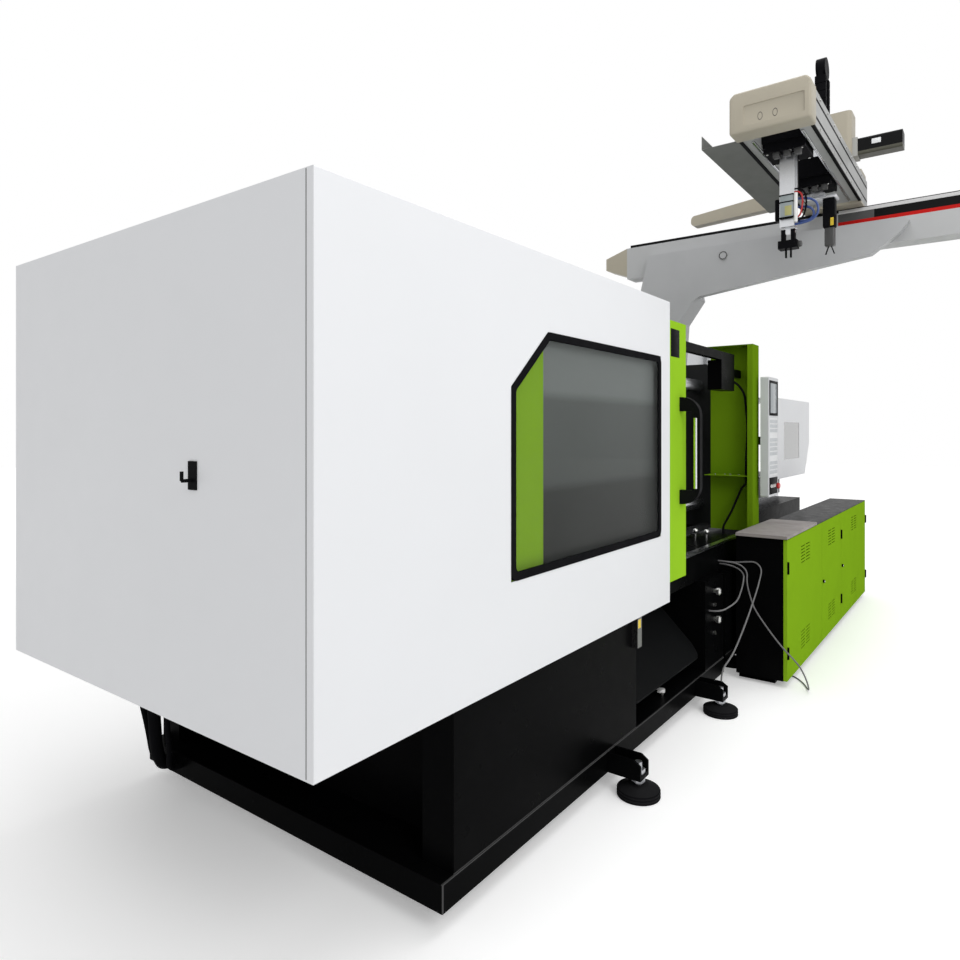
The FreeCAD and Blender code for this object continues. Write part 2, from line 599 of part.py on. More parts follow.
def window_seal():
    """The black rubber frame of the window."""
    along = ("-housing_half - seal_proud", "seal_depth - housing_half - seal_proud")
    outer = plate("XZ", WINDOW, along)
    rounded(outer, "window_round", "y")
    inner = plate("XZ", inset(WINDOW, "seal_width"), (f"{along[0]} - 1", f"{along[1]} + 1"))
    rounded(inner, "window_round - seal_width / 2", "y")
    return [cut(outer, inner)]


def window_pane():
    """The tinted pane inside the rubber frame."""
    body = plate("XZ", inset(WINDOW, "seal_width + seat_gap"),
                 ("seal_proud - housing_half", "seal_proud + pane_thick - housing_half"))
    rounded(body, "window_round - seal_width / 2", "y")
    return [body]


def coat_hook():
    """A small black plate on the end cover with a wire hook."""
    centre_z = "hook_low + hook_height / 3"
    tip = "-hook_plate - hook_reach + hook_wire"
    return [fuse(
        box(("-hook_plate", "0"), ("-hook_y - hook_width / 2", "hook_width / 2 - hook_y"),
            ("hook_low", "hook_low + hook_height")),
        rod("x", ("-hook_y", centre_z), "hook_wire", (tip, "-hook_plate")),
        rod("z", (tip, "-hook_y"), "hook_wire", (centre_z, f"{centre_z} + hook_rise")))]


# Clamp unit ------------------------------------------------------------------------------------------------

def four(item_at):
    """The same piece at the four tie bars."""
    return [item_at(f"{side} * tie_pitch_y", f"clamp_height + {level} * tie_pitch")
            for side in (-1, 1) for level in (-1, 1)]


def platen(start, thick, low, top):
    """A platen with cut-back corners and a hole for each tie bar."""
    body = plate("YZ", [
        ("-platen_half", low), ("platen_half", low), ("platen_half", f"{top} - platen_chamfer"),
        ("platen_half - platen_chamfer", top), ("platen_chamfer - platen_half", top),
        ("-platen_half", f"{top} - platen_chamfer")],
        (start, f"{start} + {thick}"),
        [((y, z), "tie_radius + seat_gap") for y, z in four(lambda y, z: (y, z))])
    return body


def mould_holes(face, depth_end):
    """Threaded holes for the mould clamps on a platen's face."""
    return [rod("x", (f"{side} * mould_hole_y", f"clamp_height + {level} * {step}"), "mould_hole_radius",
                (face, depth_end))
            for side in (-1, 1) for level in (-1, 1) for step in ("mould_hole_near", "mould_hole_far")]


def rear_platen():
    """The rear platen with the clamp cylinder that pushes the moving platen."""
    face = "rear_platen_start + rear_platen_thick"
    cylinder = rod("x", ("0", "clamp_height"), "cylinder_radius",
                   ("rear_platen_start - cylinder_length", "rear_platen_start"))
    cap = rod("x", ("0", "clamp_height"), "cylinder_radius + cylinder_end / 2",
              ("rear_platen_start - cylinder_length", "rear_platen_start - cylinder_length + cylinder_end"))
    bore = rod("x", ("0", "clamp_height"), "ram_radius + running_gap",
               ("rear_platen_start - cylinder_length + cylinder_end", f"{face} + 1"))
    return [cut(fuse(platen("rear_platen_start", "rear_platen_thick", "beam_top", "platen_top"),
                     cylinder, cap), bore)]


def clamp_ram():
    """The ram, with the flange that bolts to the moving platen."""
    return [fuse(rod("x", ("0", "clamp_height"), "ram_radius", ("ram_start", "moving_platen_start")),
                 rod("x", ("0", "clamp_height"), "ram_flange",
                     ("moving_platen_start - ram_flange_thick", "moving_platen_start")))]


def tie_bars():
    """Four tie bars from behind the rear platen to beyond the fixed platen."""
    along = ("rear_platen_start - tie_overhang", "fixed_platen_start + fixed_platen_thick + tie_overhang")
    return four(lambda y, z: rod("x", (y, z), "tie_radius", along))


def tie_bar_nuts():
    """Round nuts that hold both ends of each tie bar."""
    items = []
    for low, high in (("rear_platen_start - tie_overhang", "rear_platen_start"),
                      ("fixed_platen_start + fixed_platen_thick",
                       "fixed_platen_start + fixed_platen_thick + tie_overhang")):
        bore = (f"{low} - 1", f"{high} + 1")
        items += four(lambda y, z: cut(rod("x", (y, z), "tie_nut_radius", (low, high)),
                                       rod("x", (y, z), "tie_radius + seat_gap", bore)))
    return items


def moving_platen():
    """The moving platen on its shoes, with the ejector's cavity at the back."""
    start, face = "moving_platen_start", "moving_platen_start + moving_platen_thick"
    low = "beam_top + way_height + seat_gap + shoe_height"
    shoe = box((f"{start} - shoe_overhang", f"{face} + shoe_overhang"), ("-way_outer", "-way_inner"),
               (f"{low} - shoe_height", low))
    body = fuse(platen(start, "moving_platen_thick", low, "platen_top - moving_platen_drop"),
                *both_sides([shoe]))
    return [cut(body,
                rod("x", ("0", "clamp_height"), "ejector_cavity",
                    (f"{start} - 1", f"{start} + ejector_cavity_depth")),
                rod("x", ("0", "clamp_height"), "ejector_radius + running_gap", (start, f"{face} + 1")),
                *mould_holes(f"{face} - mould_hole_depth", f"{face} + 1"))]


def ejector():
    """The ejector rod with its thrust disc in the moving platen's cavity."""
    start = "moving_platen_start + 5"
    return [fuse(rod("x", ("0", "clamp_height"), "ejector_disc", (start, f"{start} + ejector_disc_thick")),
                 rod("x", ("0", "clamp_height"), "ejector_radius",
                     (start, "moving_platen_start + moving_platen_thick - 2")))]


def fixed_platen():
    """The fixed platen, with the mould's locating bore and the nozzle's way through."""
    face = "fixed_platen_start"
    return [cut(platen(face, "fixed_platen_thick", "beam_top", "platen_top"),
                rod("x", ("0", "clamp_height"), "locating_radius",
                    (f"{face} - 1", f"{face} + locating_depth")),
                rod("x", ("0", "clamp_height"), "nozzle_bore", (face, f"{face} + fixed_platen_thick + 1")),
                *mould_holes(f"{face} - 1", f"{face} + mould_hole_depth"))]


# Gates -----------------------------------------------------------------------------------------------------

def gate_opening(lap):
    """The pane's outline in a gate: the clear opening plus a lap."""
    return rectangle((f"gate_start + gate_left_stile - {lap}", f"gate_low + gate_bottom_rail - {lap}"),
                     (f"gate_end - gate_right_stile + {lap}", f"gate_top - gate_top_rail + {lap}"))


def gate_frame():
    """A folded sheet gate with a window opening."""
    body, tools = pan(("gate_start", "gate_end"), ("gate_low", "gate_top"), f"-{GATE_SIDE}", "gate_depth",
                      "gate_skin", gate_opening("0"))
    return cut(body, *tools)


def gate_pane():
    """The pane behind the gate's front sheet."""
    return plate("XZ", gate_opening("gate_pane_lap"),
                 (f"gate_skin - {GATE_SIDE}", f"gate_skin + pane_thick - {GATE_SIDE}"))


def gate_handle():
    """A bow handle: two arched ends joined by a thin outer rim, with room for the grip."""
    foot, top = f"-{GATE_SIDE}", "handle_low + handle_height"
    reach = f"-{GATE_SIDE} - handle_reach"
    width = ("handle_x - handle_width / 2", "handle_x + handle_width / 2")
    bow = plate("YZ", [(foot, "handle_low"), (foot, top), (reach, top), (reach, "handle_low")], width)
    outer = bow.Shape.BoundBox.YMin
    rounded(bow, "handle_bend", "x", lambda middle: middle.y < outer + 1)
    inner = plate("YZ", [(f"{foot} + 1", "handle_low + handle_end"), (f"{foot} + 1", f"{top} - handle_end"),
                         (f"{reach} + handle_rim * 4.5", f"{top} - handle_end"),
                         (f"{reach} + handle_rim * 4.5", "handle_low + handle_end")],
                  (f"{width[0]} - 1", f"{width[1]} + 1"))
    slot = box((f"{width[0]} - 1", f"{width[1]} + 1"), (f"{reach} + handle_rim", f"{reach} + handle_rim * 5"),
               ("grip_low", "grip_high"))
    return cut(bow, inner, slot)


def gate_grip():
    """The chromed grip between the handle's ends."""
    return rod("z", ("handle_x", f"handle_rim * 2.8 - {GATE_SIDE} - handle_reach"), "grip_radius",
               ("grip_low", "grip_high"))


def rear_copy(item):
    """The gate piece on the far side, shut: mirrored and moved along by the gate's travel."""
    return moved(mirrored(item), x="gate_travel")


def gate_rails():
    """Top rails that the gates hang on, each with a post at the clamp end."""
    back = f"gate_depth + seat_gap - {GATE_SIDE}"
    rail = box(("rail_start", "rail_end"), (back, f"{back} + rail_depth"),
               ("rail_low", "rail_low + rail_height"))
    post = box(("rail_start", "rail_start + rail_post"), (f"-{BEAM_SIDE}", f"{back} + rail_depth"),
               ("beam_top", "rail_low"))
    return both_sides([fuse(rail, post)])


def gate_tracks():
    """Bright lower tracks along the beams that guide the gates' bottom edges."""
    back = f"gate_depth + seat_gap - {GATE_SIDE}"
    return both_sides([box(("rail_start + rail_post + 1", "track_end"), (back, f"{back} + rail_depth"),
                           ("beam_top", "beam_top + track_height"))])


def switch_box():
    """The safety switch box under the rail's end, on an arm from the guard."""
    back = f"gate_depth + seat_gap - {GATE_SIDE}"
    block = box(("switch_start", "rail_end"), (back, f"{back} + switch_depth"), ("switch_low", "rail_low"))
    arm = box(("rail_end", f"{GUARD_BACK} - sheet"), (f"{back} + switch_depth / 2", f"{back} + switch_depth"),
              ("switch_arm_low", "switch_arm_low + switch_arm"))
    return [fuse(block, arm)]


def platen_guards():
    """Green folded guards beside the fixed platen, one at each side."""
    front, back = "guard_start", "guard_start + guard_width"
    outer, inner = f"-{GUARD_SIDE}", "-guard_inner"
    skin = f"sheet - {GUARD_SIDE}"
    lip = f"guard_flange - {GUARD_SIDE}"
    beam, leg = f"-{BEAM_SIDE}", f"-{BED_SIDE}"
    folded = plate("XY", [(front, lip), (front, outer), (back, outer), (back, inner),
                          (f"{back} - sheet", inner), (f"{back} - sheet", skin),
                          (f"{front} + sheet", skin), (f"{front} + sheet", lip)], ("guard_low", "guard_top"))
    shelf = box((f"{front} + sheet", back), (outer, inner), ("guard_shelf", "guard_shelf + sheet"))
    top = box((front, back), (outer, inner), ("guard_top - sheet", "guard_top"))
    foot = box((f"{front} + guard_bracket", back), (outer, beam),
               ("beam_low + guard_bracket / 2", "beam_low + guard_bracket * 3 / 2"))
    over_beam = box((f"{back} - sheet * 2", f"{back} + 1"), (f"{beam} - seat_gap", "1 - guard_inner"),
                    ("guard_low - 1", "beam_top + way_height"))
    over_leg = box((f"{back} - sheet * 2", f"{back} + 1"), (f"{leg} - seat_gap", "1 - guard_inner"),
                   ("guard_low - 1", "beam_low + seat_gap"))
    return both_sides([cut(fuse(folded, shelf, top, foot), over_beam, over_leg)])


# Injection side --------------------------------------------------------------------------------------------

def injection_base():
    """The second base: a box under the injection unit, a bridge and two legs under the bed's beams."""
    side, bridge_start = BED_SIDE, "beam_end - bed_side_depth"
    body = box(("beam_end", "base_end"), ("-base_half", "base_half"), ("base_low", "base_top"))
    leg = box(("base_start", bridge_start), (f"-{side}", f"bed_side_depth - {side}"),
              ("base_low", "beam_low"))
    bridge = box((bridge_start, "beam_end"), (f"-{side}", side), ("base_low", "beam_low"))
    return [body, bridge, *both_sides([leg])]


def electric_cabinet():
    """The cabinet's shell with three bays, standing on a recessed toe."""
    front = "door_depth + door_seat - cabinet_front"
    shell = box(("cabinet_start", "cabinet_end"), (front, "-cabinet_back"), ("cabinet_low", "cabinet_top"))
    bays = []
    for start, end in (("cabinet_start", "door_split_one"), ("door_split_one", "door_split_two"),
                       ("door_split_two", "cabinet_end")):
        bays.append(box((f"{start} + cabinet_wall", f"{end} - cabinet_wall"),
                        (f"{front} - 1", "-cabinet_back - cabinet_wall"),
                        ("cabinet_low + cabinet_wall", "cabinet_top - cabinet_wall")))
    toe = box(("cabinet_start + cabinet_toe", "cabinet_end - cabinet_toe"),
              (f"{front} + cabinet_toe", "-cabinet_back"), ("0", "cabinet_low"))
    tie = box(("cabinet_start + cabinet_toe", "cabinet_end - cabinet_toe"), ("-cabinet_back", f"-{BED_SIDE}"),
              ("base_low", "base_low + cabinet_toe"))
    lid = box(("cabinet_start", "cabinet_end"), ("-cabinet_front", "-cabinet_back"),
              ("cabinet_top", "cabinet_top + top_sheet"))
    return [fuse(cut(shell, *bays), toe, tie, lid)]


def cabinet_board():
    """The worn board on top of the cabinet's clamp end."""
    return [box(("cabinet_start - board_lap / 2", "board_end"),
                ("-cabinet_front - board_lap / 8", f"-{GUARD_SIDE} - board_lap / 8"),
                ("cabinet_top + top_sheet", "cabinet_top + top_sheet + board_thick"))]


def slot_fields(middle):
    """The punched slots of a door: a field near its foot and a field near its head."""
    slots = []
    for low in ("cabinet_low + slot_low", "cabinet_top - slot_drop - (slot_rows - 1) * slot_pitch"):
        for row in range(SIZES["slot_rows"]):
            for column in range(SIZES["slot_columns"]):
                left = f"{middle} + ({column} - slot_columns / 2) * slot_step"
                height = f"{low} + {row} * slot_pitch"
                slots.append(box((left, f"{left} + slot_length"),
                                 ("-cabinet_front - 1", "door_depth - cabinet_front"),
                                 (height, f"{height} + slot_height")))
    return slots


def door(start, end, lock):
    """A cabinet door: a folded pan with two fields of slots, hinge knuckles and a lock, if it has one."""
    x = (f"{start} + door_gap", f"{end} - door_gap")
    z = ("cabinet_low + door_gap", "cabinet_top - door_gap")
    body, tools = pan(x, z, "-cabinet_front", "door_depth", "door_skin")
    hinge_x = f"{x[1]} - hinge_pin" if lock else f"{x[0]} + hinge_pin"
    pieces = [rod("z", (hinge_x, "-cabinet_front - hinge_pin * 0.9"), "hinge_pin",
                  (height, f"{height} + hinge_length"))
              for height in ("cabinet_low + hinge_inset", "cabinet_top - hinge_inset - hinge_length")]
    if lock:
        pieces.append(rod("y", (lock, "(cabinet_low + cabinet_top) / 2"), "lock_radius",
                          ("-cabinet_front - lock_reach", "door_skin - cabinet_front")))
    return [fuse(cut(body, *tools, *slot_fields(f"(({x[0]}) + ({x[1]})) / 2")), *pieces)]


def injection_rails():
    """Guide rails of the injection unit, on the second base."""
    return both_sides([box(("unit_rail_start", "unit_end"), ("-unit_rail_y - unit_rail_width / 2",
                                                             "unit_rail_width / 2 - unit_rail_y"),
                           ("base_top", "base_top + unit_rail_height"))])


def injection_carriage():
    """The sliding carriage with its throat block, which holds the barrel and the hopper."""
    low = "base_top + unit_rail_height + seat_gap"
    deck = box(("unit_start", "unit_end"), ("-unit_half", "unit_half"), (low, "unit_deck"))
    throat = box(("throat_start", "throat_end"), ("-throat_half", "throat_half"), ("unit_deck", "throat_top"))
    bore = rod("x", ("0", "clamp_height"), "screw_radius + seat_gap", ("throat_start - 1", "throat_end + 1"))
    return [cut(fuse(deck, throat), bore)]


def barrel():
    """The plasticising barrel with its nozzle."""
    return [turned("x", ("0", "clamp_height"), [
        ("nozzle_tip", "nozzle_hole"), ("nozzle_tip", "nozzle_radius * 0.6"),
        ("nozzle_tip + nozzle_radius", "nozzle_radius"), ("barrel_front", "nozzle_radius"),
        ("barrel_front", "barrel_radius"), ("throat_start", "barrel_radius"),
        ("throat_start", "screw_radius + seat_gap"), ("screw_start - seat_gap", "screw_radius + seat_gap"),
        ("screw_start - screw_radius * 2", "nozzle_hole")])]


def heater_bands():
    """Heater bands clamped round the barrel, each with a terminal box on top."""
    bands = []
    for step in range(SIZES["band_count"]):
        start = f"band_start + {step} * band_pitch"
        ring = turned("x", ("0", "clamp_height"), rectangle(
            (start, "barrel_radius + seat_gap"), (f"{start} + band_width", "barrel_radius + band_thick")))
        terminal = box((f"{start} + band_width / 4", f"{start} + band_width * 3 / 4"),
                       ("-band_thick * 1.5", "band_thick * 1.5"),
                       ("clamp_height + barrel_radius + band_thick / 2",
                        "clamp_height + barrel_radius + band_thick * 3.5"))
        bands.append(fuse(ring, terminal))
    return bands


def hopper():
    """A thin-walled hopper: neck, cone and drum, open at the top."""
    top, cone, low = "hopper_top", "hopper_cone_top", "hopper_cone_low"
    return [turned("z", ("hopper_x", "0"), [
        ("throat_top", "hopper_neck - sheet"), ("throat_top", "hopper_neck"), (low, "hopper_neck"),
        (cone, "hopper_radius"), (top, "hopper_radius"), (top, "hopper_radius - sheet"),
        (cone, "hopper_radius - sheet"), (low, "hopper_neck - sheet")])]


def screw_drive():
    """The screw's drive block, which slides back on the carriage as the screw fills."""
    block = box(("drive_start", "drive_end"), ("-drive_half", "drive_half"),
                ("unit_deck + seat_gap", "drive_top"))
    socket = rod("x", ("0", "clamp_height"), "screw_radius + running_gap",
                 ("drive_start - 1", "drive_start + throat_half"))
    return [cut(block, socket)]


def screw():
    """The screw, which turns in the drive block and the barrel."""
    return [rod("x", ("0", "clamp_height"), "screw_radius",
                ("screw_start + screw_radius * 2", "drive_start + throat_half - seat_gap"))]


def shroud():
    """The white folded cover over the injection unit, with a window at the operator side."""
    body = plate("YZ", [
        ("-shroud_half", "shroud_low"), ("sheet - shroud_half", "shroud_low"),
        ("sheet - shroud_half", "shroud_top - sheet"), ("shroud_half - sheet", "shroud_top - sheet"),
        ("shroud_half - sheet", "shroud_low"), ("shroud_half", "shroud_low"),
        ("shroud_half", "shroud_top"), ("-shroud_half", "shroud_top")], ("shroud_start", "shroud_end"))
    window = box(("shroud_window_start", "shroud_window_end"),
                 ("-shroud_half - 1", "sheet * 2 - shroud_half"), ("shroud_window_low", "shroud_window_top"))
    corner = plate("XZ", [("shroud_end - shroud_chamfer", "shroud_low - 1"),
                          ("shroud_end + 1", "shroud_low - 1"),
                          ("shroud_end + 1", "shroud_low + shroud_chamfer * 1.6")],
                   ("-shroud_half - 1", "shroud_half + 1"))
    hole = rod("z", ("hopper_x", "0"), "shroud_hole", ("shroud_top - sheet * 2", "shroud_top + 1"))
    brackets = both_sides([box((f"unit_start + {step} * shroud_hole + throat_half",
                                f"unit_start + {step} * shroud_hole + throat_end - throat_start"),
                               ("sheet / 2 - shroud_half", "-unit_half"),
                               ("unit_deck - sheet * 2", "unit_deck - sheet")) for step in (0, 3)])
    return [fuse(cut(body, window, corner, hole), *brackets)]


def shroud_pane():
    """The grey pane in the shroud's window."""
    return [box(("shroud_window_start + seat_gap", "shroud_window_end - seat_gap"),
                ("-shroud_half", "sheet - shroud_half"),
                ("shroud_window_low + seat_gap", "shroud_window_top - seat_gap"))]


def panel_arm():
    """The bracket from the fixed platen's side, round the guard, to the operator panel's hinge pin."""
    top = "panel_arm_low + panel_arm_height"
    z = ("panel_arm_low", top)
    near = "panel_pin_x - panel_pin * 2.5"
    arm = box((near, "panel_pin_x + panel_pin * 2.5"), ("panel_knuckle - panel_pin_y - 1", "-panel_turn"), z)
    far = "fixed_platen_start + fixed_platen_thick / 4"
    turn = box((near, far), ("-panel_turn - panel_depth", "-panel_turn"), z)
    root = box(("fixed_platen_start", far), ("-panel_turn", "-platen_half"), z)
    neck = box(("panel_pin_x - panel_pin", "panel_pin_x + panel_pin"),
               ("-panel_pin_y", "panel_knuckle - panel_pin_y"), z)
    pin = rod("z", ("panel_pin_x", "-panel_pin_y"), "panel_pin",
              ("panel_arm_low - panel_knuckle_height", f"{top} + panel_knuckle_height"))
    return [fuse(arm, turn, root, neck, pin)]


def operator_panel():
    """The operator panel, with knuckles round its hinge pin and a stop button's hole."""
    back = "-panel_pin_y - panel_knuckle"
    face = f"{back} - panel_depth"
    case = plate("XZ", rectangle(("panel_start", "panel_low"), ("panel_end", "panel_top")), (face, back))
    rounded(case, "panel_round", "y")
    knuckles = []
    for low, high in (("panel_arm_low - panel_knuckle_height", "panel_arm_low - seat_gap"),
                      ("panel_arm_low + panel_arm_height + seat_gap",
                       "panel_arm_low + panel_arm_height + panel_knuckle_height")):
        knuckles.append(cut(
            box(("panel_pin_x - panel_knuckle", "panel_end"),
                (f"{back} - 1", "panel_knuckle - panel_pin_y"), (low, high)),
            rod("z", ("panel_pin_x", "-panel_pin_y"), "panel_pin + running_gap",
                (f"{low} - 1", f"{high} + 1"))))
    hole = rod("y", ("stop_x", "stop_z"), "stop_stem + seat_gap", (f"{face} - 1", f"{face} + stop_radius"))
    return [cut(fuse(case, *knuckles), hole)]


def stop_button():
    """The mushroom stop button, pressed into the panel."""
    face = "-panel_pin_y - panel_knuckle - panel_depth"
    head = f"{face} - stop_travel - stop_proud"
    end = f"{head} + stop_radius"
    return [turned("y", ("stop_x", "stop_z"), [
        (end, "0"), (end, "stop_stem"),
        (head, "stop_stem"), (head, "stop_radius"), (f"{head} - stop_radius * 0.5", "stop_radius"),
        (f"{head} - stop_radius * 0.8", "stop_radius * 0.8"), (f"{head} - stop_radius * 0.8", "0")])]


# Take-out robot --------------------------------------------------------------------------------------------

def robot_pedestal():
    """The wedge-shaped bracket on the fixed platen and the foot behind it."""
    crown = "beam_z_low + crown_rise"
    back = [("root_back", "platen_top"), ("waist_back", "platen_top + waist_rise")]
    front = [("-elbow_y", f"{crown} - elbow_drop"), ("-waist_front", "platen_top + waist_rise"),
             ("-root_front", "platen_top")]
    wedge = plate("YZ", [*back, ("neck_back", "platen_top + neck_rise"), ("crown_back", crown),
                         ("-arm_end_y", crown), ("-tip_y", f"{crown} - tip_drop"),
                         ("-tip_low_y", f"{crown} - tip_low_drop"), ("-belly_y", f"{crown} - belly_drop"),
                         *front],
                  ("robot_start", "robot_start + bracket_thick"))
    rounded(wedge, "elbow_round", "x", lambda middle: abs(middle.y + SIZES["elbow_y"]) < 1)
    foot = plate("YZ", [*back, ("foot_neck", "beam_z_low"), ("-foot_front", "beam_z_low"), *front],
                 ("robot_start + bracket_thick", "robot_end"))
    hub = rod("x", ("-hub_y", "hub_z"), "hub_radius", ("robot_start - hub_proud", "robot_start"))
    return [fuse(wedge, foot, hub)]


BEAM_X = ("robot_start + bracket_thick", "robot_end")


def robot_beam():
    """The traverse beam that the whole take-out head runs along."""
    beam = box(BEAM_X, ("-beam_y_end", "beam_y_start"), ("beam_z_low", "beam_z_top"))
    groove = box(("robot_end - beam_groove", "robot_end + 1"), ("-beam_y_end - 1", "beam_y_start + 1"),
                 ("beam_z_low + beam_groove_edge", "beam_z_top - beam_groove_edge"))
    return [cut(beam, groove)]


def robot_beam_cap():
    """The cream end cap of the traverse beam."""
    end = "beam_y_start + beam_cap_length"
    return [plate("YZ", [("beam_y_start", "beam_z_low + beam_cap_low"),
                         (end, "beam_z_low + beam_cap_slope_low"), (end, "beam_z_top - beam_cap_slope_top"),
                         ("beam_y_start", "beam_z_top")], BEAM_X)]


def robot_rail():
    """The black guide rail on the traverse beam."""
    return [box(("robot_start + bracket_thick + rail_inset", "robot_end - rail_inset"),
                ("-beam_y_end + rail_inset", "beam_y_start - rail_inset"),
                ("beam_z_top", "beam_z_top + robot_rail"))]


def robot_carriage():
    """The carriage on the traverse rail, with the drive tower over it."""
    low = "beam_z_top + robot_rail + seat_gap"
    back = "robot_end + carriage_back"
    base = box(("robot_start - carriage_front", back), ("-cross_y - cross_half", "cross_half - cross_y"),
               (low, "cross_low"))
    apron = box(("robot_end + seat_gap * 10", back), ("-cross_y - tower_half", "tower_half - cross_y"),
                ("beam_z_low", low))
    return [fuse(base, apron)]


def robot_tower():
    """The cream drive tower on top of the cross beam."""
    tower = plate("XY", rectangle(("tower_x", "-cross_y - tower_half"),
                                  ("tower_x + tower_length", "tower_half - cross_y")),
                  ("tower_low", "tower_top"))
    rounded(tower, "tower_round", "z")
    foot = box(("tower_x", "tower_x + tower_length"), ("-cross_y - cross_half", "cross_half - cross_y"),
               ("cross_top", "tower_low"))
    return [fuse(tower, foot)]


def servo_motors():
    """The traverse servo motor with its square flange."""
    axis = ("tower_x + tower_length / 2", "servo_z")
    face = "-cross_y - tower_half"
    flange = box(("tower_x + tower_length / 2 - servo_half", "tower_x + tower_length / 2 + servo_half"),
                 (f"{face} - servo_flange", face), ("servo_z - servo_half", "servo_z + servo_half"))
    body = plate("XZ", rectangle((f"{axis[0]} - servo_half * 0.9", "servo_z - servo_half * 0.9"),
                                 (f"{axis[0]} + servo_half * 0.9", "servo_z + servo_half * 0.9")),
                 (f"{face} - servo_length", f"{face} - servo_flange"))
    rounded(body, "servo_round", "y")
    return [fuse(flange, body)]


def duct_cover():
    """The long cream cover behind the tower, thinner and rounded towards its free end."""
    root, tip = "cross_half - cross_y", "-cover_tip_y"
    body = plate("YZ", [(root, "cover_root_low"), (tip, "cover_tip_low"),
                        (tip, "cover_tip_low + cover_tip_thick"),
                        (root, "cover_root_low + cover_root_thick")], ("cover_x", "cover_x + cover_wide"))
    rounded(body, "cover_tip_round", "x", lambda middle: middle.y > -SIZES["cover_tip_y"] - 1)
    return [body]


def cross_beam():
    """Two side members with end plates, open between them for the arms."""
    side = box(("cross_start", "robot_end"), ("-cross_y - cross_half", "cross_rail - cross_y - cross_half"),
               ("cross_low", "cross_top"))
    far = box(("cross_start", "robot_end"), ("cross_half - cross_rail - cross_y", "cross_half - cross_y"),
              ("cross_low", "cross_top"))
    ends = [box((start, f"{start} + cross_rail"), ("-cross_y - cross_half", "cross_half - cross_y"),
                ("cross_low", "cross_top")) for start in ("cross_start", "robot_start")]
    return [fuse(side, far, *ends)]


def cross_beam_cap():
    """The cream cap on the cross beam's front end, with a recessed panel in its face."""
    lap, start = "cross_cap_lap", "cross_start - cross_cap / 2"
    y = (f"-cross_y - cross_half - {lap}", f"cross_half - cross_y + {lap}")
    z = (f"cross_low - {lap}", f"cross_top + {lap}")
    body = plate("YZ", [
        (f"{y[0]} + cross_cap_bevel * 0.4", z[0]), (f"{y[1]} - cross_cap_bevel * 0.4", z[0]),
        (y[1], f"{z[0]} + cross_cap_bevel * 0.4"), (y[1], f"{z[1]} - cross_cap_bevel"),
        (f"{y[1]} - cross_cap_bevel", z[1]), (f"{y[0]} + cross_cap_bevel * 1.2", z[1]),
        (y[0], f"{z[1]} - cross_cap_bevel * 1.2"), (y[0], f"{z[0]} + cross_cap_bevel * 0.4")],
        (start, f"{start} + cross_cap"))
    hollow = box(("cross_start - seat_gap", f"{start} + cross_cap + 1"),
                 ("-cross_y - cross_half - seat_gap", "cross_half - cross_y + seat_gap"),
                 ("cross_low - cross_cap", "cross_top + seat_gap"))
    recess = box((f"{start} - 1", f"{start} + cross_cap_recess"),
                 (f"{y[0]} + cross_cap_bevel", f"{y[1]} - cross_cap_bevel"),
                 (f"{z[0]} + cross_cap_bevel * 0.5", f"{z[1]} - cross_cap_bevel * 1.3"))
    return [cut(body, hollow, recess)]


def cable_tray():
    """The sheet tray beside the cross beam that carries its cables."""
    near = "cross_half - cross_y"
    body = plate("YZ", [
        (near, "cross_low"), (near, "cross_low + tray_drop"), (f"{near} + sheet", "cross_low + tray_drop"),
        (f"{near} + sheet", "cross_low + sheet"), (f"{near} + tray_width - sheet", "cross_low + sheet"),
        (f"{near} + tray_width - sheet", "cross_low + tray_flange"),
        (f"{near} + tray_width", "cross_low + tray_flange"), (f"{near} + tray_width", "cross_low")],
        ("cross_start + cross_cap / 2 + seat_gap * 4", "tray_end"))
    return [body]


INNER_Y = ("seat_gap + cross_rail - cross_y - cross_half", "cross_half - cross_rail - cross_y - seat_gap")


def arm_slide(arm_x, guide_low):
    """A slide between the cross beam's members with the guide that an arm runs on."""
    block = box((f"{arm_x} - slide_length / 2", f"{arm_x} + slide_length / 2"), INNER_Y,
                ("cross_low + tray_drop / 2", "cross_low + tray_drop / 2 + slide_height"))
    guide = box((f"{arm_x} + arm_width / 2 + seat_gap", f"{arm_x} + arm_width / 2 + guide_thick"),
                ("-cross_y - arm_width / 2", "arm_width / 2 - cross_y"),
                (guide_low, "cross_low + tray_drop / 2"))
    way = box((f"{arm_x} - arm_width / 2 - seat_gap", f"{arm_x} + arm_width / 2 + seat_gap"),
              ("-cross_y - arm_width / 2 - seat_gap", "arm_width / 2 - cross_y + seat_gap"),
              ("cross_low", "cross_top"))
    return [cut(fuse(block, guide), way)]


def arm(arm_x, low, top):
    """An arm: an extruded bar with a groove in each side."""
    half = "arm_width / 2"
    bar = box((f"{arm_x} - {half}", f"{arm_x} + {half}"), (f"-cross_y - {half}", f"{half} - cross_y"),
              (low, top))
    grooves = [box((f"{arm_x} - arm_groove / 2", f"{arm_x} + arm_groove / 2"),
                   (f"{edge} - arm_groove_depth", f"{edge} + arm_groove_depth"),
                   (f"{low} - 1", f"{top} + 1"))
               for edge in (f"-cross_y - {half}", f"{half} - cross_y")]
    return cut(bar, *grooves)


def sub_arm():
    """The sprue arm with the lug that its gripper turns on."""
    lug = box(("sub_arm_x - lug_half", "sub_arm_x + lug_half"), ("-cross_y - lug_side", "lug_side - cross_y"),
              ("wrist_z - lug_side", "arm_low + 1"))
    pin = rod("y", ("sub_arm_x", "wrist_z"), "wrist_pin", ("-cross_y - cheek_outer", "cheek_outer - cross_y"))
    return [fuse(arm("sub_arm_x", "arm_low", "arm_top"), lug, pin)]


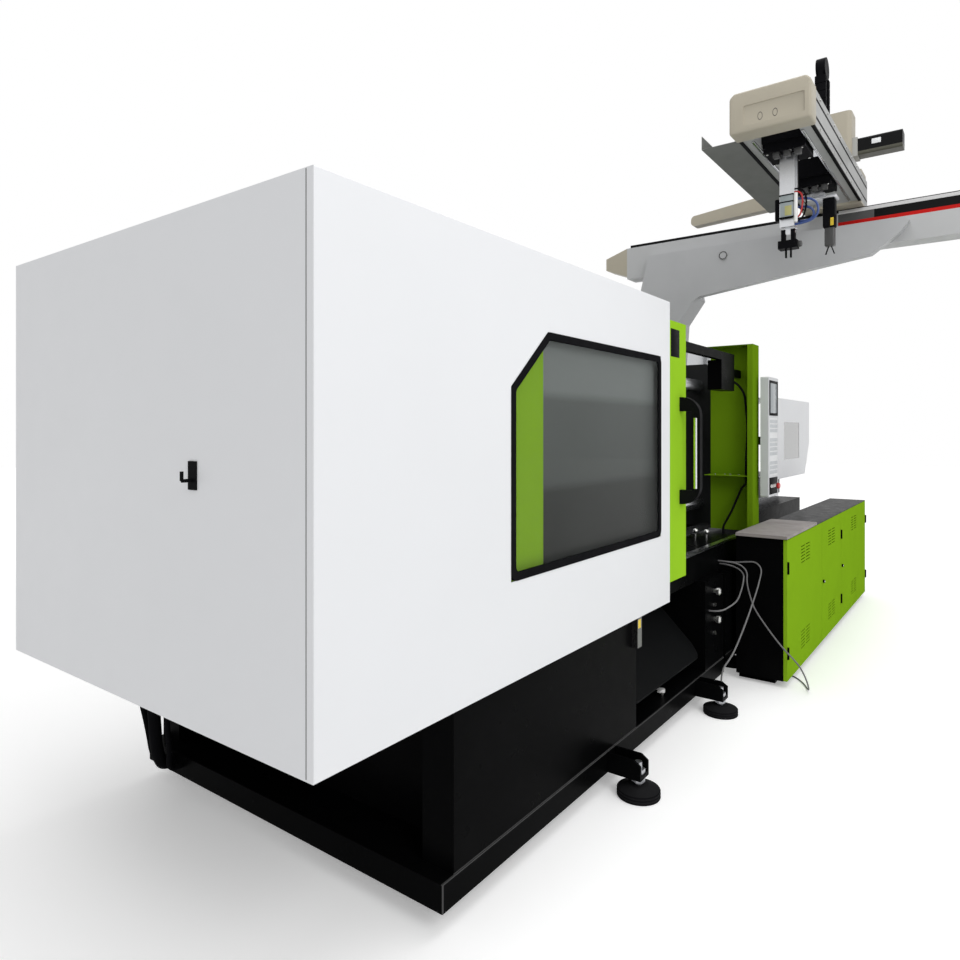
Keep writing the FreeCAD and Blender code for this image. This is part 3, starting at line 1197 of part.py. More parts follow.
def gripper():
    """The gripper's forked block and its two fingers."""
    cheeks = []
    for low, high in (("-cross_y - cheek_outer", "-cross_y - cheek_inner"),
                      ("cheek_inner - cross_y", "cheek_outer - cross_y")):
        cheeks.append(cut(
            box(("sub_arm_x - cheek_half", "sub_arm_x + cheek_half"), (low, high),
                ("gripper_low", "wrist_z + cheek_rise")),
            rod("y", ("sub_arm_x", "wrist_z"), "wrist_pin + running_gap", (f"{low} - 1", f"{high} + 1"))))
    block = box(("sub_arm_x - jaw_half", "sub_arm_x + jaw_half"),
                ("-cross_y - gripper_half", "gripper_half - cross_y"),
                ("gripper_low - jaw_height", "gripper_low + 1"))
    root = "gripper_low - jaw_height + 1"
    fingers = [box(("sub_arm_x - finger_width / 2", "sub_arm_x + finger_width / 2"),
                   (f"{side} * finger_step - cross_y - finger_thick / 2",
                    f"{side} * finger_step - cross_y + finger_thick / 2"),
                   (f"{root} - finger_length", root)) for side in (-1, 1)]
    return [fuse(block, *cheeks, *fingers)]


def main_arm():
    """The main arm with the mounting plate for take-out tooling."""
    half = "tool_plate / 2"
    low = "main_arm_low - tool_plate_thick"
    tool_plate = box((f"main_arm_x - {half}", f"main_arm_x + {half}"),
                     (f"-cross_y - {half}", f"{half} - cross_y"), (low, "main_arm_low + 1"))
    holes = [rod("z", (f"main_arm_x + {i} * tool_pitch / 2", f"{j} * tool_pitch / 2 - cross_y"), "tool_hole",
                 (f"{low} - 1", "main_arm_low + 2"))
             for i in (-1, 1) for j in (-1, 1)]
    return [cut(fuse(arm("main_arm_x", "main_arm_low", "main_arm_top"), tool_plate), *holes)]


def cable_chain():
    """The upright loop of chain links beside the main arm, on a foot from its slide."""
    low = "cross_low + tray_drop / 2 + slide_height"
    centre_x, centre_y = "main_arm_x - chain_offset", "-cross_y - chain_side"
    y = (f"{centre_y} - chain_width / 2", f"{centre_y} + chain_width / 2")
    links = []
    for side in (-1, 1):
        for step in range(SIZES["chain_links"]):
            z = f"{low} + chain_foot + {step} * chain_pitch"
            x = f"{centre_x} + {side} * (chain_radius - chain_thick / 2)"
            links.append(box((f"{x} - chain_thick / 2", f"{x} + chain_thick / 2"), y,
                             (z, f"{z} + chain_link")))
    spine_half = "(chain_radius - spine_inset)"
    spine = box((f"{centre_x} - {spine_half}", f"{centre_x} + {spine_half}"),
                (f"{centre_y} - chain_width / 4", f"{centre_y} + chain_width / 4"),
                (low, "chain_top - chain_radius"))
    bend = rod("y", (centre_x, "chain_top - chain_radius"), "chain_radius", y)
    foot = box((f"{centre_x} - chain_radius", "main_arm_x - slide_length / 2 + chain_width / 2"), y,
               (low, f"{low} + chain_foot"))
    return [fuse(spine, bend, foot, *links)]


# Cables and hoses ------------------------------------------------------------------------------------------

POST_CABLE = [(3196, -775, 694), (3196, -850, 694), (3190, -922, 656), (3145, -929, 604), (3100, -932, 572),
              (3020, -936, 530), (2940, -929, 515), (2862, -884, 484), (2862, -822, 484)]
FOOT_CABLE = [(3226, -775, 704), (3226, -850, 704), (3229, -915, 714), (3233, -975, 722),
              (3230, -1012, 684), (3205, -1009, 634), (3150, -1006, 573), (3070, -1000, 501),
              (2985, -996, 435), (2905, -989, 371), (2835, -976, 302), (2782, -966, 264), (2702, -943, 214),
              (2702, -943, 157)]
FLOOR_CABLE = [(3168, -775, 716), (3168, -850, 716), (3169, -912, 704), (3170, -946, 667),
               (3165, -942, 603), (3180, -966, 495), (3190, -988, 437), (3200, -1057, 338),
               (3207, -1134, 242), (3210, -1210, 173), (3211, -1240, 128), (3212, -1264, 72),
               (3236, -1268, 24), (3290, -1250, 6), (3370, -1216, 4.7), (3446, -1166, 4.7),
               (3494, -1112, 4.7), (3494, -1068.6, 4.7)]
THICK_HOSE = [(398, 622, 669), (398, 622, 450), (409, 610, 354), (414, 612, 295), (424, 620, 215),
              (440, 632, 160), (464, 640, 118), (507, 640, 118)]
THIN_HOSES = [
    [(396, 690, 669), (396, 690, 400), (418, 690, 303), (432, 692, 236), (446, 698, 165), (470, 704, 112),
     (507, 704, 112)],
    [(424, 545, 669), (424, 545, 400), (431, 548, 280), (446, 558, 200), (452, 574, 140), (470, 582, 112),
     (507, 582, 112)]]
GUARD_HOSES = [
    [(3450, -745, 1822), (3520, -745, 1822), (3600, -765, 1800), (3645, -794, 1740), (3660, -800, 1624),
     (3660, -808, 1516), (3660, -798, 1300), (3660, -798, 1203)],
    [(3660, -798, 1200), (3660, -798, 1150), (3660, -770, 1121), (3660, -700, 951), (3660, -650, 862),
     (3660, -650, 810)]]


def hose_bundle():
    """Black hoses: three from under the housing to the plinth's end, two inside the operator side's guard."""
    return [tube(THICK_HOSE, SIZES["hose_radius"]),
            *[tube(route, SIZES["thin_hose_radius"]) for route in THIN_HOSES],
            *[tube(route, SIZES["guard_hose_radius"]) for route in GUARD_HOSES]]


# Assembly --------------------------------------------------------------------------------------------------

node("bed_frame", *bed_frame())
node("guide_ways", *slideways(), *gate_tracks(), *injection_rails())
node("levelling_pads", *levelling_pads())
node("levelling_bolts", *levelling_bolts())
node("drop_chute", *drop_chute())
node("bed_fittings", *drain_valves(), *limit_box(), *latch_knobs())
node("drain_lever", *drain_lever())
node("housing_front_cover", housing_side(WINDOW))
node("housing_rear_cover", mirrored(housing_side(None)))
node("housing_end_cover", *housing_end_cover())
node("housing_roof", *housing_roof())
node("window_seal", *window_seal())
node("window_pane", *window_pane())
node("coat_hook", *coat_hook())
node("rear_platen", *rear_platen())
node("clamp_ram", *clamp_ram())
node("tie_bars", *tie_bars(), *tie_bar_nuts())
node("moving_platen", *moving_platen())
node("ejector", *ejector())
node("fixed_platen", *fixed_platen())
node("gate_frame", gate_frame())
node("gate_pane", gate_pane())
node("gate_handle", gate_handle())
node("gate_grip", gate_grip())
node("rear_gate_frame", *[rear_copy(item) for item in (gate_frame(), gate_handle(), gate_grip())])
node("rear_gate_pane", rear_copy(gate_pane()))
node("gate_rails", *gate_rails(), *switch_box())
node("platen_guards", *platen_guards())
node("injection_base", *injection_base())
node("electric_cabinet", *electric_cabinet())
node("cabinet_board", *cabinet_board())
node("door_left", *door("cabinet_start", "door_split_one", None))
node("door_middle", *door("door_split_one", "door_split_two", "door_split_one + door_gap + lock_radius * 3"))
node("door_right", *door("door_split_two", "cabinet_end", "door_split_two + door_gap + lock_radius * 3"))
node("injection_carriage", *injection_carriage())
node("barrel", *barrel())
node("heater_bands", *heater_bands())
node("hopper", *hopper())
node("screw_drive", *screw_drive())
node("screw", *screw())
node("shroud", *shroud())
node("shroud_pane", *shroud_pane())
node("panel_arm", *panel_arm())
node("operator_panel", *operator_panel())
node("stop_button", *stop_button())
node("robot_pedestal", *robot_pedestal())
node("robot_beam", *robot_beam(), *robot_rail(), *robot_beam_cap())
node("robot_carriage", *robot_carriage(), *robot_tower(), *servo_motors(), *duct_cover())
node("cross_beam", *cross_beam())
node("cross_beam_cap", *cross_beam_cap())
node("cable_tray", *cable_tray())
node("main_slide", *arm_slide("main_arm_x", "main_guide_low"), *cable_chain())
node("sub_slide", *arm_slide("sub_arm_x", "guide_low"))
node("main_arm", *main_arm())
node("sub_arm", *sub_arm())
node("gripper", *gripper())
node("hose_bundle", *hose_bundle())
node("post_cable", tube(POST_CABLE, SIZES["cable_radius"]))
node("foot_cable", tube(FOOT_CABLE, SIZES["cable_radius"]))
node("floor_cable", tube(FLOOR_CABLE, SIZES["cable_radius"]))
doc.recompute()

for item in doc.Objects:
    if "Invalid" in item.State or "Error" in item.State:
        raise RuntimeError(item.Label + " failed: " + str(item.State))
for item in NODES:
    if item.Shape.isNull() or not item.Shape.isValid():
        raise RuntimeError(item.Label + " has no valid shape")
for item in NODES:
    item.Shape.exportStep(f"parts/{item.Label}.step")
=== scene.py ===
"""Looks of the injection moulding machine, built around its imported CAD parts.

Lengths are in metres. +X runs towards the injection end, the operator stands at -Y and Z = 0 is the floor.
Places on the machine are given from its own datum, the clamp end of the white housing on the centreline,
and `at` turns them into the frame's.
"""

import math
import bpy
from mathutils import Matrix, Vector


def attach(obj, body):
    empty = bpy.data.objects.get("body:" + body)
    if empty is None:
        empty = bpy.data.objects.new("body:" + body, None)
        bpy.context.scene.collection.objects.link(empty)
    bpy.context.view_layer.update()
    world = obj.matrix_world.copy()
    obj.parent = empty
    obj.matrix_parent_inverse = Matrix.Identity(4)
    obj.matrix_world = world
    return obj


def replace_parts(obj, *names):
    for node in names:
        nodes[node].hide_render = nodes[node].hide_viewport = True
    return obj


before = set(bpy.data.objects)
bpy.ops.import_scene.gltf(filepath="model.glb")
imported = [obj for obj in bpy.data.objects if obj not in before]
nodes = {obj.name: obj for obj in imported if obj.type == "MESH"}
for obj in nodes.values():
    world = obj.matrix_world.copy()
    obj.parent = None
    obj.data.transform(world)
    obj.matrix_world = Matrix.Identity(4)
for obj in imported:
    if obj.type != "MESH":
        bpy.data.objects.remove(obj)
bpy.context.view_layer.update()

DATUM = Vector((-3.2305, 0.5315, 0.0))


def at(x, y, z):
    """A place on the machine, measured from its datum, in the frame's coordinates."""
    return DATUM + Vector((x, y, z))


# Camera, floor and light -----------------------------------------------------------------------------------

EYE = (-1.0897, -2.153, 1.5)
LOOK = Vector((0.8023, 0.5969, 0.0))
LENS = 26.36
HORIZON_SHIFT = -0.0516
NEAREST_SEEN = 0.05


def set_camera():
    """A level camera at standing eye height, near the clamp end's front corner."""
    data = bpy.data.cameras.new("camera")
    data.lens = LENS
    data.shift_y = HORIZON_SHIFT
    data.clip_start = NEAREST_SEEN
    camera = bpy.data.objects.new("camera", data)
    camera.location = at(*EYE)
    camera.rotation_euler = (math.pi / 2, 0, math.atan2(LOOK.y, LOOK.x) - math.pi / 2)
    bpy.context.scene.collection.objects.link(camera)
    bpy.context.scene.camera = camera


def lamp(name, place, target, size, power):
    """A square area lamp that points at a place."""
    data = bpy.data.lights.new(name, "AREA")
    data.size = size
    data.energy = power
    item = bpy.data.objects.new(name, data)
    item.location = place
    item.rotation_euler = (Vector(target) - Vector(place)).to_track_quat("-Z", "Y").to_euler()
    bpy.context.scene.collection.objects.link(item)


# Shader maths ----------------------------------------------------------------------------------------------

class Value:
    """A number that changes over a surface. An expression on values adds its Math nodes."""

    def __init__(self, finish, socket):
        self.finish = finish
        self.socket = socket

    def maths(self, operation, *others):
        return self.finish.add("ShaderNodeMath", {"operation": operation}, *others)

    def __add__(self, other):
        return self.maths("ADD", self, other)

    def __sub__(self, other):
        return self.maths("SUBTRACT", self, other)

    def __mul__(self, other):
        return self.maths("MULTIPLY", self, other)

    def __gt__(self, other):
        return self.maths("GREATER_THAN", self, other)

    def __lt__(self, other):
        return self.maths("LESS_THAN", self, other)

    def either(self, other):
        return self.maths("MAXIMUM", self, other)

    def size(self):
        return self.maths("ABSOLUTE", self)


# The Mix node's sockets for its factor and its two colours, and the one of its mixed colour.
MIX_INPUTS = (0, 6, 7)
MIX_OUTPUT = 2


class Finish:
    """One surface finish: a material, its shader and the patterns that vary over it."""

    def __init__(self, name, colour, rough, metal=0.0):
        self.material = bpy.data.materials.new(name)
        self.material.use_nodes = True
        self.tree = self.material.node_tree
        self.shader = self.tree.nodes["Principled BSDF"]
        self.colour = (*colour, 1.0)
        self.place = self.add("ShaderNodeTexCoord", {}, output="Object")
        self.put("Base Color", self.colour)
        self.put("Roughness", rough)
        self.put("Metallic", metal)

    def add(self, kind, settings, *values, output=None, **named):
        """Adds a node: its settings first, then the values or links of its sockets, then an output."""
        item = self.tree.nodes.new(kind)
        for key, value in settings.items():
            setattr(item, key, value)
        for key, value in list(enumerate(values)) + list(named.items()):
            self.feed(item.inputs[key.replace("_", " ") if isinstance(key, str) else key], value)
        return Value(self, item.outputs[output] if output else item.outputs[0])

    def feed(self, socket, value):
        if isinstance(value, Value):
            self.tree.links.new(value.socket, socket)
        else:
            socket.default_value = value

    def put(self, name, value):
        self.feed(self.shader.inputs[name], value)

    def axis(self, letter):
        """One coordinate of the surface point, in metres, from the machine's datum."""
        split = self.add("ShaderNodeSeparateXYZ", {}, self.place, output=letter)
        start = DATUM["XYZ".index(letter)]
        return split - start if start else split

    def noise(self, scale, detail, stretch=(1, 1, 1)):
        place = self.add("ShaderNodeMapping", {}, self.place, Scale=stretch)
        return self.add("ShaderNodeTexNoise", {}, place, Scale=scale, Detail=detail, output="Fac")

    def fit(self, value, low, high, new_low=0.0, new_high=1.0):
        """Fits a value's range low to high onto a new range, and stops there."""
        return self.add("ShaderNodeMapRange", {}, value, low, high, new_low, new_high)

    def blend(self, factor, first, second):
        """A colour between two colours."""
        item = self.tree.nodes.new("ShaderNodeMix")
        item.data_type = "RGBA"
        for index, value in zip(MIX_INPUTS, (factor, first, second)):
            plain = isinstance(value, tuple) and len(value) == 3
            self.feed(item.inputs[index], (*value, 1.0) if plain else value)
        return Value(self, item.outputs[MIX_OUTPUT])

    def inside(self, letter, low, high):
        """1 where a coordinate lies between two places on the machine."""
        value = self.axis(letter)
        return (value > low) * (value < high)

    def zone(self, x=None, y=None, z=None):
        """1 inside a box on the machine."""
        mask = None
        for letter, span in zip("XYZ", (x, y, z)):
            if span:
                part = self.inside(letter, *span)
                mask = part if mask is None else mask * part
        return mask

    def relief(self, height, distance, strength):
        """Raises the surface's grain by a height that varies over it."""
        bump = self.add("ShaderNodeBump", {}, Strength=strength, Distance=distance, Height=height,
                        output="Normal")
        self.put("Normal", bump)


# Scales of the noise that varies a finish: shades are the widest, lines and grain the finest.
SHADE_SCALE = 1.7
DUST_SCALE = 5.0
GRIME_SCALE = 6.0
STAIN_SCALE = 9.0
WEAR_SCALE = 14.0
SHINE_SCALE = 30.0
LINE_SCALE = 160.0

# Heights of the grain, in metres, and how strongly it shows.
PAINT_GRAIN = (0.0002, 0.35)
METAL_GRAIN = (0.0001, 0.3)
MOULDED_GRAIN = (0.00015, 0.5)

# The ranges of a noise that are stretched over a whole change.
MIDDLE = (0.3, 0.7)
SHADE_RANGE = (0.35, 0.65)
GRIME_RANGE = (0.5, 0.72)
STAIN_RANGE = (0.52, 0.7)
DUST_RANGE = (0.48, 0.75)


def painted(name, colour, rough, shade, grime=0.0, grain=900.0):
    """Paint with a fine orange-peel grain, slow changes of shade, and grime where it is asked for."""
    finish = Finish(name, colour, rough)
    slow = finish.fit(finish.noise(SHADE_SCALE, 4), *SHADE_RANGE)
    darker = tuple(part * (1 - shade) for part in colour)
    colours = finish.blend(slow, colour, darker)
    if grime:
        dirt = finish.fit(finish.noise(GRIME_SCALE, 8), *GRIME_RANGE) * grime
        colours = finish.blend(dirt, colours, tuple(part * 0.45 + 0.004 for part in colour))
    finish.colours = colours
    finish.put("Base Color", colours)
    wear = finish.noise(WEAR_SCALE, 5)
    finish.put("Roughness", finish.fit(wear, *MIDDLE, rough * 0.88, min(1.0, rough * 1.14)))
    finish.relief(finish.noise(grain, 2), *PAINT_GRAIN)
    return finish


def metal(name, colour, rough, along, scratch=0.25, stain=0.0):
    """Bare metal with fine lines along its length, worn shine and dull stains."""
    finish = Finish(name, colour, rough, metal=1.0)
    lines = finish.noise(LINE_SCALE, 4, stretch=along)
    tone = finish.fit(lines, *MIDDLE)
    colours = finish.blend(tone, colour, tuple(part * (1 - scratch) for part in colour))
    if stain:
        spots = finish.fit(finish.noise(STAIN_SCALE, 7), *STAIN_RANGE) * stain
        colours = finish.blend(spots, colours, tuple(part * 0.35 for part in colour))
    finish.colours = colours
    finish.put("Base Color", colours)
    finish.put("Roughness", finish.fit(lines, *MIDDLE, rough * 0.75, min(1.0, rough * 1.3)))
    finish.relief(lines, *METAL_GRAIN)
    return finish


def dull(level, *finishes):
    """Paint and rubber that mirror less of the bright room."""
    for finish in finishes:
        finish.shader.inputs["Specular IOR Level"].default_value = level


def moulded(name, colour, rough, grain=1400.0):
    """Plastic or rubber with a fine moulded grain and a little dust."""
    finish = Finish(name, colour, rough)
    dust = finish.fit(finish.noise(DUST_SCALE, 6), *DUST_RANGE, 0.0, 0.3)
    finish.colours = finish.blend(dust, colour, tuple(min(1.0, part * 1.25 + 0.006) for part in colour))
    finish.put("Base Color", finish.colours)
    shine = finish.noise(SHINE_SCALE, 4)
    finish.put("Roughness", finish.fit(shine, *MIDDLE, rough * 0.85, min(1.0, rough * 1.15)))
    finish.relief(finish.noise(grain, 2), *MOULDED_GRAIN)
    return finish


# A pane's tone rises slowly between two heights, which waver, and in two steps: where, and by what share.
PANE_HEIGHTS = (0.95, 1.9)
PANE_RISE = 0.3
PANE_SCALE = 1.3
PANE_WAVER = 0.3
PANE_STEPS = ((1.29, 0.25), (1.63, 0.45))
STEP_HALF = 0.02


def tinted(name, colour, see_through, gloss, rough, top=None):
    """A tinted pane, part glossy glass and part clear. With a top colour, its tone changes with height."""
    finish = Finish(name, colour, rough)
    if top:
        height = finish.axis("Z")
        waver = finish.noise(PANE_SCALE, 2) * (2 * PANE_WAVER) - PANE_WAVER
        rise = finish.fit(height + waver, *PANE_HEIGHTS) * PANE_RISE
        for level, share in PANE_STEPS:
            rise = rise + finish.fit(height, level - STEP_HALF, level + STEP_HALF) * share
        finish.put("Base Color", finish.blend(rise, colour, top))
    finish.put("Alpha", 1.0 - see_through)
    finish.shader.inputs["Specular IOR Level"].default_value = gloss
    return finish


def fields(finish, *areas):
    """Paints boxes on the machine in other colours."""
    for colour, spans in areas:
        finish.colours = finish.blend(finish.zone(**spans), finish.colours, colour)
    finish.put("Base Color", finish.colours)
    return finish


def paint(finish, *names):
    """Gives CAD nodes a finish."""
    for name in names:
        for entry in nodes[name].material_slots:
            entry.material = finish.material


WHITE = (0.80, 0.81, 0.83)
# The doors, gate and guards share one lime paint, copied here with painted light: the gate's copy is painted
# lightest, the doors' a little lighter, and the guards' darker as painted shade.
LIT_DOOR_GREEN = (0.25, 0.46, 0.016)
LIT_GATE_GREEN = (0.33, 0.62, 0.028)
SHADED_GUARD_GREEN = (0.15, 0.28, 0.008)
BLACK = (0.0024, 0.0025, 0.0027)
CREAM = (0.42, 0.385, 0.31)
YELLOW = (0.7, 0.5, 0.03)
RED = (0.5, 0.01, 0.008)
WORN_EDGE = (0.075, 0.075, 0.075)
BRIGHT_METAL = (0.66, 0.67, 0.69)
NICKEL = (0.68, 0.68, 0.66)

# Worn edges of the bed's plinth: two strips along its top edge and one up its corner.
WORN_PLINTH = ((WORN_EDGE, {"y": (-0.8225, -0.8205), "z": (0.1565, 0.161)}),
               (WORN_EDGE, {"y": (-0.8275, -0.8235), "z": (0.1545, 0.1580)}),
               (WORN_EDGE, {"x": (0.470, 0.5130), "y": (-0.8270, -0.8245), "z": (0.0, 0.157)}))

# The hinge knuckles and locks, which stand proud of the doors' faces.
DOOR_FITTINGS = (BLACK, {"y": (-1.3, -1.1495)})

# The traverse beam: its cream far end, dark top and the pale, grey, black and red bands at its near end.
NEAR_END = (-2.2, -1.28)
GREY_END = -1.49
BAND_HEIGHTS = (2.846, 2.869, 2.922, 2.950)
BEAM_BANDS = ((CREAM, {"y": (0.221, 2.0)}),
              (BLACK, {"z": (2.9302, 3.1)}),
              ((0.6, 0.6, 0.6), {"y": NEAR_END, "z": BAND_HEIGHTS[2:]}),
              ((0.085, 0.085, 0.085), {"y": (GREY_END, NEAR_END[1]), "z": BAND_HEIGHTS[1:3]}),
              (BLACK, {"y": (NEAR_END[0], GREY_END), "z": BAND_HEIGHTS[1:3]}),
              (RED, {"y": NEAR_END, "z": BAND_HEIGHTS[:2]}))

# The servo motor: black, with a dark band along its foot and a bare flange at its root.
MOTOR_X = (3.98, 4.12)
MOTOR_Z = (3.255, 3.405)
MOTOR_ROOT = -1.4017
MOTOR_FIELDS = ((BLACK, {"x": MOTOR_X, "y": (-1.70, MOTOR_ROOT), "z": MOTOR_Z}),
                ((0.09, 0.088, 0.07), {"x": MOTOR_X, "y": (-1.66, MOTOR_ROOT), "z": (MOTOR_Z[0], 3.298)}),
                ((0.4, 0.4, 0.38), {"x": MOTOR_X, "y": (MOTOR_ROOT, -1.3717), "z": MOTOR_Z}))

# The limit box on the bed and its yellow mark.
BOX_FIELDS = (((0.13, 0.13, 0.13), {"x": (1.80, 1.90), "y": (-0.86, -0.80), "z": (0.50, 0.70)}),
              (YELLOW, {"x": (1.842, 1.870), "y": (-0.852, -0.848), "z": (0.617, 0.655)}))

white_paint = painted("white_powder_coat", WHITE, 0.42, shade=0.015)
black_paint = fields(painted("black_satin_paint", BLACK, 0.3, shade=0.3, grime=0.25), *WORN_PLINTH)
# The three lime finishes are one paint, lightened as painted light on the doors and gate and darkened as
# painted shade on the guards.
lit_door_paint = fields(painted("lime_door_coat_lit", LIT_DOOR_GREEN, 0.34, shade=0.04, grime=0.06), DOOR_FITTINGS)
chute_paint = painted("charcoal_sheet", (0.009, 0.0095, 0.01), 0.36, shade=0.2, grime=0.2)
lit_gate_paint = painted("lime_gate_coat_lit", LIT_GATE_GREEN, 0.34, shade=0.04, grime=0.06)
shaded_guard_paint = painted("lime_guard_coat_shaded", SHADED_GUARD_GREEN, 0.34, shade=0.04, grime=0.06)
casting = painted("black_machine_casting", (0.014, 0.0145, 0.0155), 0.42, shade=0.3, grime=0.3, grain=320.0)
robot_paint = painted("light_grey_beam", (0.47, 0.475, 0.485), 0.38, shade=0.07, grime=0.05)
# The cross beam and the cable tray carry the robot's light grey painted darker, as painted shade on their
# undersides.
shaded_cross_beam_paint = painted("cross_beam_grey_shaded", (0.36, 0.365, 0.36), 0.38, shade=0.07, grime=0.05)
shaded_tray_paint = painted("tray_grey_shaded", (0.17, 0.175, 0.165), 0.42, shade=0.07, grime=0.05)
beam_paint = fields(painted("traverse_beam", (0.49, 0.495, 0.5), 0.38, shade=0.07, grime=0.05), *BEAM_BANDS)
cream_paint = fields(painted("cream_cover", CREAM, 0.4, shade=0.05, grime=0.05), *MOTOR_FIELDS)
ground = metal("ground_steel", BRIGHT_METAL, 0.22, along=(1, 12, 12))
zinc = metal("zinc_plate", (0.56, 0.57, 0.6), 0.35, along=(8, 8, 1), stain=0.4)
nickel = metal("nickel_plate", NICKEL, 0.22, along=(8, 1, 8), stain=0.25)
fitting_nickel = fields(metal("fitting_nickel", NICKEL, 0.26, along=(8, 1, 8), stain=0.2), *BOX_FIELDS)
chrome = metal("polished_chrome", (0.8, 0.81, 0.82), 0.09, along=(14, 14, 1), scratch=0.08)
barrel_steel = metal("heat_tinted_steel", (0.4, 0.36, 0.33), 0.38, along=(1, 8, 8), stain=0.5)
band_metal = metal("heater_band", (0.52, 0.5, 0.46), 0.4, along=(1, 8, 8), stain=0.3)
hopper_metal = metal("brushed_stainless", (0.62, 0.63, 0.65), 0.27, along=(8, 8, 1))
anodised = metal("anodised_bar", BRIGHT_METAL, 0.34, along=(10, 10, 1), scratch=0.1)
black_plastic = moulded("black_plastic", (0.006, 0.006, 0.007), 0.38)
rubber = moulded("black_rubber", (0.007, 0.007, 0.008), 0.7)
pad_rubber = moulded("grey_pad_rubber", (0.015, 0.015, 0.016), 0.62)
grey_cable = moulded("grey_cable_sheath", (0.15, 0.147, 0.15), 0.45)
red_wire = moulded("red_wire", (0.4, 0.012, 0.01), 0.4)
blue_tube = moulded("blue_air_tube", (0.025, 0.06, 0.22), 0.3)
air_block = moulded("air_cylinder_grey", (0.3, 0.34, 0.35), 0.4)
tool_grey = moulded("tool_grey", (0.05, 0.05, 0.05), 0.45)
yellow_mark = moulded("yellow_mark", YELLOW, 0.45)
pale_mark = moulded("pale_yellow_mark", (0.42, 0.40, 0.16), 0.5)
white_plastic = moulded("white_plastic", (0.78, 0.78, 0.77), 0.35)
red_plastic = moulded("red_button", (0.55, 0.02, 0.02), 0.28)
panel_plastic = moulded("panel_grey", (0.62, 0.63, 0.65), 0.4)
board = painted("worn_board", (0.3, 0.27, 0.26), 0.6, shade=0.25, grime=0.6, grain=200.0)
screen_grey = moulded("screen_grey", (0.28, 0.31, 0.33), 0.2, grain=3000.0)
key_white = moulded("key_field_white", (0.74, 0.75, 0.76), 0.4)
key_grey = moulded("key_grey", (0.56, 0.58, 0.6), 0.45)
window_tint = tinted("tinted_window", (0.02, 0.024, 0.022), see_through=0.84, gloss=0.2, rough=0.05)
gate_tint = tinted("clear_gate_window", (0.022, 0.023, 0.02), see_through=0.06, gloss=0.1, rough=0.35,
                   top=(0.3, 0.33, 0.32))
rear_tint = tinted("rear_gate_window", (0.03, 0.034, 0.034), see_through=0.6, gloss=0.3, rough=0.08)

dull(0.01, black_paint, chute_paint, black_plastic, rubber, pad_rubber)
dull(0.15, casting)
dull(0.0, lit_gate_paint, shaded_guard_paint, lit_door_paint)
dull(0.12, cream_paint, robot_paint, beam_paint, shaded_cross_beam_paint, shaded_tray_paint)

paint(white_paint, "housing_front_cover", "housing_rear_cover", "housing_end_cover", "housing_roof", "shroud")
paint(black_paint, "bed_frame", "gate_rails", "injection_base", "electric_cabinet", "panel_arm")
paint(chute_paint, "drop_chute")
paint(lit_gate_paint, "gate_frame", "rear_gate_frame")
paint(shaded_guard_paint, "platen_guards")
paint(lit_door_paint, "door_left", "door_middle", "door_right")
paint(casting, "rear_platen", "moving_platen", "fixed_platen", "injection_carriage", "screw_drive")
paint(robot_paint, "robot_pedestal")
paint(shaded_cross_beam_paint, "cross_beam")
paint(shaded_tray_paint, "cable_tray")
paint(beam_paint, "robot_beam")
paint(cream_paint, "robot_carriage")
paint(ground, "guide_ways", "clamp_ram", "tie_bars", "ejector", "screw")
paint(zinc, "levelling_bolts")
paint(fitting_nickel, "bed_fittings")
paint(chrome, "gate_grip")
paint(barrel_steel, "barrel")
paint(band_metal, "heater_bands")
paint(hopper_metal, "hopper")
paint(anodised, "main_arm", "sub_arm")
paint(black_plastic, "coat_hook", "gate_handle", "gripper", "main_slide", "sub_slide")
paint(rubber, "window_seal", "hose_bundle")
paint(pad_rubber, "levelling_pads")
paint(grey_cable, "post_cable", "foot_cable", "floor_cable")
paint(white_plastic, "drain_lever")
paint(red_plastic, "stop_button")
paint(panel_plastic, "operator_panel")
paint(board, "cabinet_board")
paint(window_tint, "window_pane")
paint(rear_tint, "shroud_pane", "rear_gate_pane")
paint(gate_tint, "gate_pane")


# Cables ----------------------------------------------------------------------------------------------------

CABLE_RADIUS = 0.0045
ROUND_STEPS = 4
CURVE_STEPS = 8
LENGTH_STEPS = 12
POST_CABLE = [(3.196, -0.775, 0.694), (3.196, -0.85, 0.694), (3.19, -0.922, 0.656), (3.145, -0.929, 0.604),
              (3.1, -0.932, 0.572), (3.02, -0.936, 0.53), (2.94, -0.929, 0.515), (2.862, -0.884, 0.484),
              (2.862, -0.822, 0.484)]
FOOT_CABLE = [(3.226, -0.775, 0.704), (3.226, -0.85, 0.704), (3.229, -0.915, 0.714), (3.233, -0.975, 0.722),
              (3.23, -1.012, 0.684), (3.205, -1.009, 0.634), (3.15, -1.006, 0.573), (3.07, -1., 0.501),
              (2.985, -0.996, 0.435), (2.905, -0.989, 0.371), (2.835, -0.976, 0.302), (2.782, -0.966, 0.264),
              (2.702, -0.943, 0.214), (2.702, -0.943, 0.157)]
FLOOR_CABLE = [(3.168, -0.775, 0.716), (3.168, -0.85, 0.716), (3.169, -0.912, 0.704), (3.17, -0.946, 0.667),
               (3.165, -0.942, 0.603), (3.18, -0.966, 0.495), (3.19, -0.988, 0.437), (3.2, -1.057, 0.338),
               (3.207, -1.134, 0.242), (3.21, -1.21, 0.173), (3.211, -1.24, 0.128), (3.212, -1.264, 0.072),
               (3.236, -1.268, 0.024), (3.29, -1.25, 0.006), (3.37, -1.216, 0.0047), (3.446, -1.166, 0.0047),
               (3.494, -1.112, 0.0047), (3.494, -1.0686, 0.0047)]


